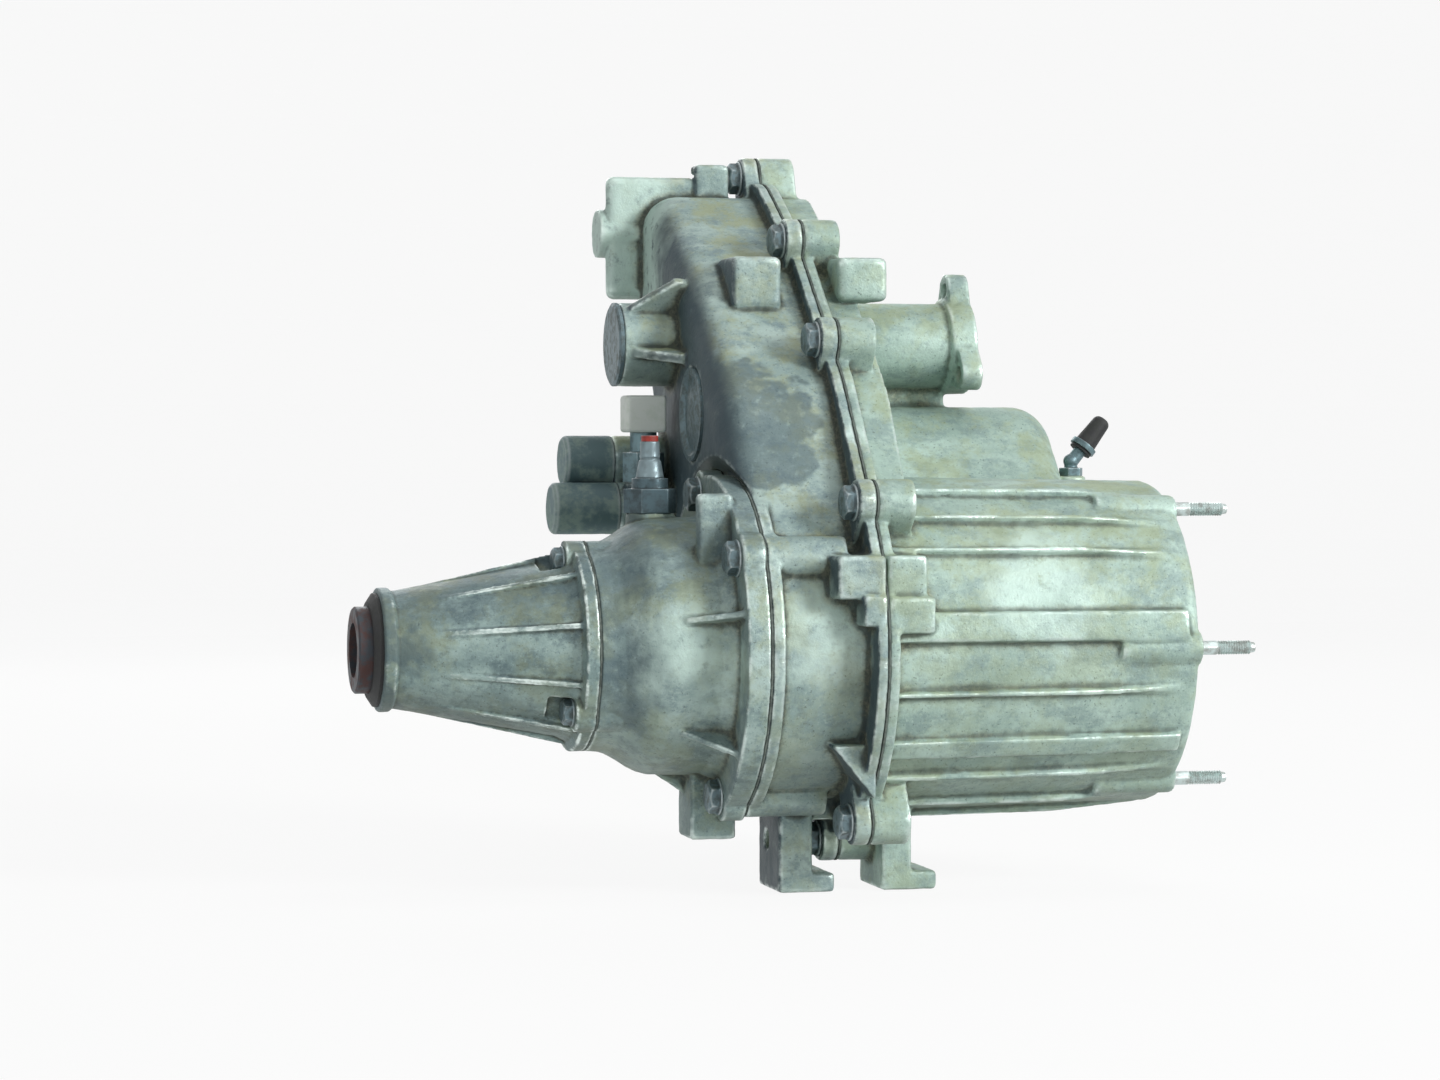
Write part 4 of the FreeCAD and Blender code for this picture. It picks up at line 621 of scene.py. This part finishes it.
# %% One recipe for worked pieces
def worked_finish(name, base, tarnish, metallic, rough, patch_mm, grain_mm, amount=0.6, bump_mm=0.05,
                  rubbed="#d5dfdf", bright_above=None):
    """A metal, plastic or rubber. Above the height bright_above, in mm, it is rubbed all over."""
    material, tree = empty_material(name)
    place = add(tree, "TexCoord").outputs["Object"]
    patch = add(tree, "TexNoise", {"Vector": place, "Scale": 1 / (patch_mm * MM), "Detail": 6,
                                   "Roughness": 0.66})
    dull = add(tree, "MapRange", {0: patch.outputs["Fac"], 1: 0.42, 2: 0.64, 4: amount},
               interpolation_type="SMOOTHSTEP").outputs[0]
    edge = add(tree, "Attribute", attribute_name="edge").outputs["Fac"]
    bare = add(tree, "MapRange", {0: edge, 1: 0.12, 2: 0.4, 4: 0.7}).outputs[0]
    # painted shade in the creases, where the edge relief is negative
    crease_shade = add(tree, "MapRange", {0: edge, 1: -0.05, 2: -0.3, 4: 0.8}).outputs[0]
    if bright_above is not None:
        height = add(tree, "SeparateXYZ", {0: place}).outputs[2]
        polish = add(tree, "MapRange", {0: height, 1: (bright_above - 1) * MM, 2: bright_above * MM, 4: 0.6})
        bare = add(tree, "Math", {0: bare, 1: polish.outputs[0]}, operation="MAXIMUM").outputs[0]
    colour = painted(tree, paint(base), [(paint(tarnish), dull), (paint(rubbed), bare),
                                         (paint("#262b2a"), crease_shade)])
    gloss = add(tree, "MapRange", {0: dull, 3: rough, 4: min(rough + 0.3, 0.95)}).outputs[0]
    metal = add(tree, "MapRange", {0: dull, 3: metallic, 4: metallic * 0.35}).outputs[0]
    grain = add(tree, "TexNoise", {"Vector": place, "Scale": 1 / (grain_mm * MM), "Detail": 3})
    bumps = add(tree, "Bump", {"Height": grain.outputs["Fac"], "Strength": 0.6, "Distance": bump_mm * MM})
    shader = add(tree, "BsdfPrincipled", {"Base Color": colour, "Roughness": gloss, "Metallic": metal,
                                          "Normal": bumps.outputs[0]})
    add(tree, "OutputMaterial", {0: shader.outputs[0]})
    return material


# %% [markdown]
# The outside pieces first. Their finishes are dull, because salt and oil have been at them, and
# only the studs, which the gearbox covers in use, and rubbed corners still shine.

# %% Finishes of the outside pieces
finishes = {
    # pressed fibre: a dry, dull line between the castings
    "gasket_fibre": worked_finish("compressed_fibre_gasket", "#6b756f", "#3c4340", 0.0, 0.85, 5, 0.8,
                                  amount=0.7, bump_mm=0.1),
    # zinc gone grey: blue-grey heads with dark olive stains
    "bolt_steel": worked_finish("dulled_zinc_steel", "#667a80", "#45493f", 0.5, 0.42, 4, 0.7),
    # cold-drawn bar: the only bright steel outside
    "stud_steel": worked_finish("bright_drawn_steel", "#c6d4d2", "#85817a", 0.8, 0.32, 5, 0.6),
    # phosphate with dust on it: nearly black, with pale clouds
    "black_steel": worked_finish("black_phosphate_steel", "#627a7e", "#a0b5ac", 0.2, 0.6, 13, 0.8,
                                 amount=0.75),
    # old plating: a soft sheen, half of it lost
    "plated_steel": worked_finish("dull_plated_steel", "#6c858b", "#465458", 0.6, 0.4, 5, 0.7),
    # moulded nylon: even and faintly waxy
    "red_plastic": worked_finish("red_nylon", "#a8352b", "#5f3027", 0.0, 0.45, 4, 0.6, amount=0.5),
    "pale_plastic": worked_finish("pale_nylon", "#f6fdf6", "#e2eee0", 0.0, 0.55, 7, 0.8, amount=0.5),
    # perished rubber: black with a grey bloom
    "black_rubber": worked_finish("aged_rubber", "#1c1e20", "#3d3f3c", 0.0, 0.6, 6, 0.7, rubbed="#3a3e3f"),
    # blued hexagon, and a neck that hands have polished
    "sensor_steel": worked_finish("blued_sensor_steel", "#4d6168", "#333d40", 0.6, 0.4, 5, 0.7,
                                  rubbed="#93a5aa", bright_above=NECK_FOOT),
    # brown rust over dark steel, on the sleeve that sticks out of the tail
    "rusty_steel": worked_finish("rust_browned_steel", "#3a4147", "#54352f", 0.45, 0.5, 10, 0.7, amount=0.8),
}
print("outside finishes", len(finishes))

# %% [markdown]
# The inside pieces run in oil, so they keep their metal. They only show through the bores, but a
# part in a library is also taken apart, and each gets its finish.

# %% Finishes of the inside pieces
finishes |= {
    # warm yellow bronze with a brown film
    "bushing_bronze": worked_finish("bushing_bronze", "#b08a57", "#7a5f3c", 0.9, 0.35, 9, 0.6, amount=0.4),
    # ground races: the brightest and smoothest steel
    "bearing_steel": worked_finish("ground_bearing_steel", "#c4ccd0", "#98a0a3", 0.95, 0.2, 14, 0.5,
                                   amount=0.4, bump_mm=0.01),
    # hobbed teeth under old oil: darker, with a brown cast
    "gear_steel": worked_finish("oiled_gear_steel", "#9aa0a2", "#6d6a60", 0.9, 0.32, 12, 0.5,
                                amount=0.5, bump_mm=0.02),
    # ground shafts: between the two
    "shaft_steel": worked_finish("ground_shaft_steel", "#aeb5b8", "#857f74", 0.9, 0.3, 14, 0.5,
                                 amount=0.5, bump_mm=0.02),
    # sand-cast iron: grey, matt and grainy
    "fork_iron": worked_finish("cast_iron_fork", "#6f7272", "#4d4f4e", 0.6, 0.55, 9, 0.9,
                               amount=0.5, bump_mm=0.12),
}
print("finishes", len(finishes))

# %% [markdown]
# Each node whose slot has a finish here takes that finish. Two pieces differ from the rest of their
# slot: the main shaft, whose visible end is rusty, and the sensor, with its polished neck.

# %% Put the finishes on
slot_of = {row["node"]: row["material_slot"] for row in record["subparts"]}
for name, thing in nodes.items():
    finish = finishes.get("rusty_steel" if name == "main_shaft" else slot_of[name])
    if finish:
        thing.data.materials.clear()
        thing.data.materials.append(finish)
for name, piece in small_pieces.items():
    piece.data.materials.append(finishes["sensor_steel" if name == "speed_sensor" else slot_of[name]])
print("finishes on", sum(slot_of[name] in finishes for name in nodes), "nodes")

# %% [markdown]
# Six studs stand out of the gearbox face, each a plain shank with a cut thread at its end. A
# thread is a zigzag of 60 degrees. Drawn as a half section and spun about the stud's own line, it
# gives rings instead of a helix, which no eye can tell apart at this size. The pitch is drawn at
# 1.5 mm, a little coarser than the real 1.25 mm, so that it shows.

# %% Section of a stud
stud_mount = next(row for row in record["mounts"] if row["name"] == "gearbox_studs")
stud_circle, stud_rad = stud_mount["dims"]["pcd_mm"] / 2, stud_mount["dims"]["stud_r_mm"]
stud_count = stud_mount["dims"]["count"]
stud_low, stud_high = (corner.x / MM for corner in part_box("gearbox_studs"))
THREAD_PITCH, THREAD_DEPTH = 1.5, 0.75
PLAIN, RUN_OUT = 11.0, 1.0
TIP_LENGTH, TIP_CHAMFER = 1.5, 1.2
root_rad = stud_rad - THREAD_DEPTH
section = [(stud_low, 0), (stud_low, stud_rad), (PLAIN - RUN_OUT, stud_rad), (PLAIN, root_rad)]
along = PLAIN
while along + THREAD_PITCH < stud_high - TIP_LENGTH:
    section += [(along + THREAD_PITCH / 2, stud_rad), (along + THREAD_PITCH, root_rad)]
    along += THREAD_PITCH
section += [(stud_high, stud_rad - TIP_CHAMFER), (stud_high, 0)]
print("stud section", len(section), "points, thread from", PLAIN, "to", along, "mm")

# %% [markdown]
# The section is turned once round each stud's line. The spin leaves its start and its poles
# double, so they are merged, and the faces are then pointed outwards.

# %% Threaded studs
SPIN_STEPS = 20
turning = bmesh.new()
for k in range(stud_count):
    turn = math.tau * k / stud_count
    y, z = -stud_circle * math.cos(turn), stud_circle * math.sin(turn)
    points = [turning.verts.new(Vector((x, y, z + r)) * MM) for x, r in section]
    edges = [turning.edges.new(pair) for pair in zip(points, points[1:])]
    bmesh.ops.spin(turning, geom=points + edges, cent=Vector((0, y, z)) * MM, axis=(1, 0, 0),
                   angle=math.tau, steps=SPIN_STEPS, use_merge=True)
bmesh.ops.remove_doubles(turning, verts=turning.verts, dist=0.01 * MM)
bmesh.ops.recalc_face_normals(turning, faces=turning.faces)
stud_mesh = bpy.data.meshes.new("threaded_studs")
turning.to_mesh(stud_mesh)
turning.free()
studs = bpy.data.objects.new("threaded_studs", stud_mesh)
scene.collection.objects.link(studs)
stud_mesh.materials.append(finishes["stud_steel"])
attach(studs, "case")
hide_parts("gearbox_studs")
print("studs", len(stud_mesh.polygons), "faces")

# %% [markdown]
# The camera stands a little left of square to the case, just above the middle of the shaft, with
# a long lens, so that the tail looks slim and the drum's end closes to a thin line.

# %% Camera
LENS_MM = 95.5
EYE_PLACE, EYE_LINE = (-0.7808, -2.1282, 0.1180), (0.2385, 0.9708, -0.0262)
eye = bpy.data.objects.new("camera", bpy.data.cameras.new("camera"))
scene.collection.objects.link(eye)
eye.data.lens = LENS_MM
eye.location = EYE_PLACE
eye.rotation_euler = Vector(EYE_LINE).to_track_quat("-Z", "Y").to_euler()
scene.camera = eye
print("camera", round((Vector(EYE_PLACE) - (cad_low + cad_high) / 2).length, 2), "m away")

# %% [markdown]
# The case stands on its two feet on a pale floor that sweeps up behind it, as a roll of studio
# paper does. It is a grid whose back edge is pulled up and whose fold is rounded with a bevel.

# %% Floor
FLOOR_HALF, FOLD = 4.0, 1.5
sweep = bmesh.new()
bmesh.ops.create_grid(sweep, x_segments=1, y_segments=1, size=FLOOR_HALF)
back = [edge for edge in sweep.edges if all(v.co.y > FLOOR_HALF - 0.1 for v in edge.verts)]
raised = bmesh.ops.extrude_edge_only(sweep, edges=back)["geom"]
bmesh.ops.translate(sweep, vec=(0, 0, FLOOR_HALF),
                    verts=[part for part in raised if isinstance(part, bmesh.types.BMVert)])
bmesh.ops.bevel(sweep, geom=back, offset=FOLD, segments=12, profile=0.5, affect="EDGES", material=-1)
bmesh.ops.translate(sweep, vec=(0, 0, cad_low.z - 0.5 * MM), verts=sweep.verts)
floor_mesh = bpy.data.meshes.new("floor")
sweep.to_mesh(floor_mesh)
sweep.free()
floor = bpy.data.objects.new("floor", floor_mesh)
scene.collection.objects.link(floor)
print("floor", len(floor_mesh.polygons), "faces")

# %% [markdown]
# The background has to look white, but white light from all round would wash the casting out. So
# the floor and the sky are bright only to rays that come from the eye, or by way of a shiny or
# clear surface, and light the case itself at a low level.

# %% White floor and sky
def seen_directly(tree):
    """1 for a ray from the camera, or one reflected or let through, and 0 for any other."""
    rays = add(tree, "LightPath").outputs
    seen = rays["Is Camera Ray"]
    for way in ("Is Glossy Ray", "Is Transmission Ray"):
        seen = add(tree, "Math", {0: seen, 1: rays[way]}, operation="MAXIMUM").outputs[0]
    return seen


FLOOR_GLOW = 0.9
SKY_LIGHT, SKY_SEEN = 0.24, 1.0
floor_paint, tree = empty_material("white_floor")
glow = add(tree, "Math", {0: seen_directly(tree), 1: FLOOR_GLOW}, operation="MULTIPLY")
matt = add(tree, "BsdfDiffuse", {"Color": paint("#eff1f0")})
white = add(tree, "Emission", {"Color": (1, 1, 1, 1), "Strength": 1.0})
both = add(tree, "MixShader", {0: glow.outputs[0], 1: matt.outputs[0], 2: white.outputs[0]})
add(tree, "OutputMaterial", {0: both.outputs[0]})
floor_mesh.materials.append(floor_paint)

world = bpy.data.worlds.new("studio")
scene.world = world
world.use_nodes = True
world.node_tree.nodes.clear()
level = add(world.node_tree, "MapRange", {0: seen_directly(world.node_tree), 3: SKY_LIGHT, 4: SKY_SEEN})
sky = add(world.node_tree, "Background", {"Color": (1, 1, 1, 1), "Strength": level.outputs[0]})
add(world.node_tree, "OutputWorld", {0: sky.outputs[0]})
print("sky", SKY_LIGHT, "on the case,", SKY_SEEN, "to the eye")

# %% [markdown]
# The lamps are large, so the shadows are soft: a key from the right, a weak fill from the left,
# one from above and one from behind that lifts the top edges off the background. Each row is the
# lamp's place in metres, the length of its side in metres, and its power in watts.

# %% Lamps
middle = (cad_low + cad_high) / 2
for name, place, side, watts in (("key", (1.7, -2.0, 1.1), 0.8, 62), ("fill", (-2.2, -1.6, 0.9), 1.5, 6),
                                 ("above", (0.3, -0.4, 2.4), 1.0, 8), ("behind", (-0.2, 2.2, 1.2), 1.2, 14)):
    light = bpy.data.lights.new(name, "AREA")
    light.size = side
    light.energy = watts
    lamp = bpy.data.objects.new(name, light)
    lamp.location = place
    lamp.rotation_euler = (middle - Vector(place)).to_track_quat("-Z", "Y").to_euler()
    scene.collection.objects.link(lamp)
scene.view_settings.view_transform = "Standard"
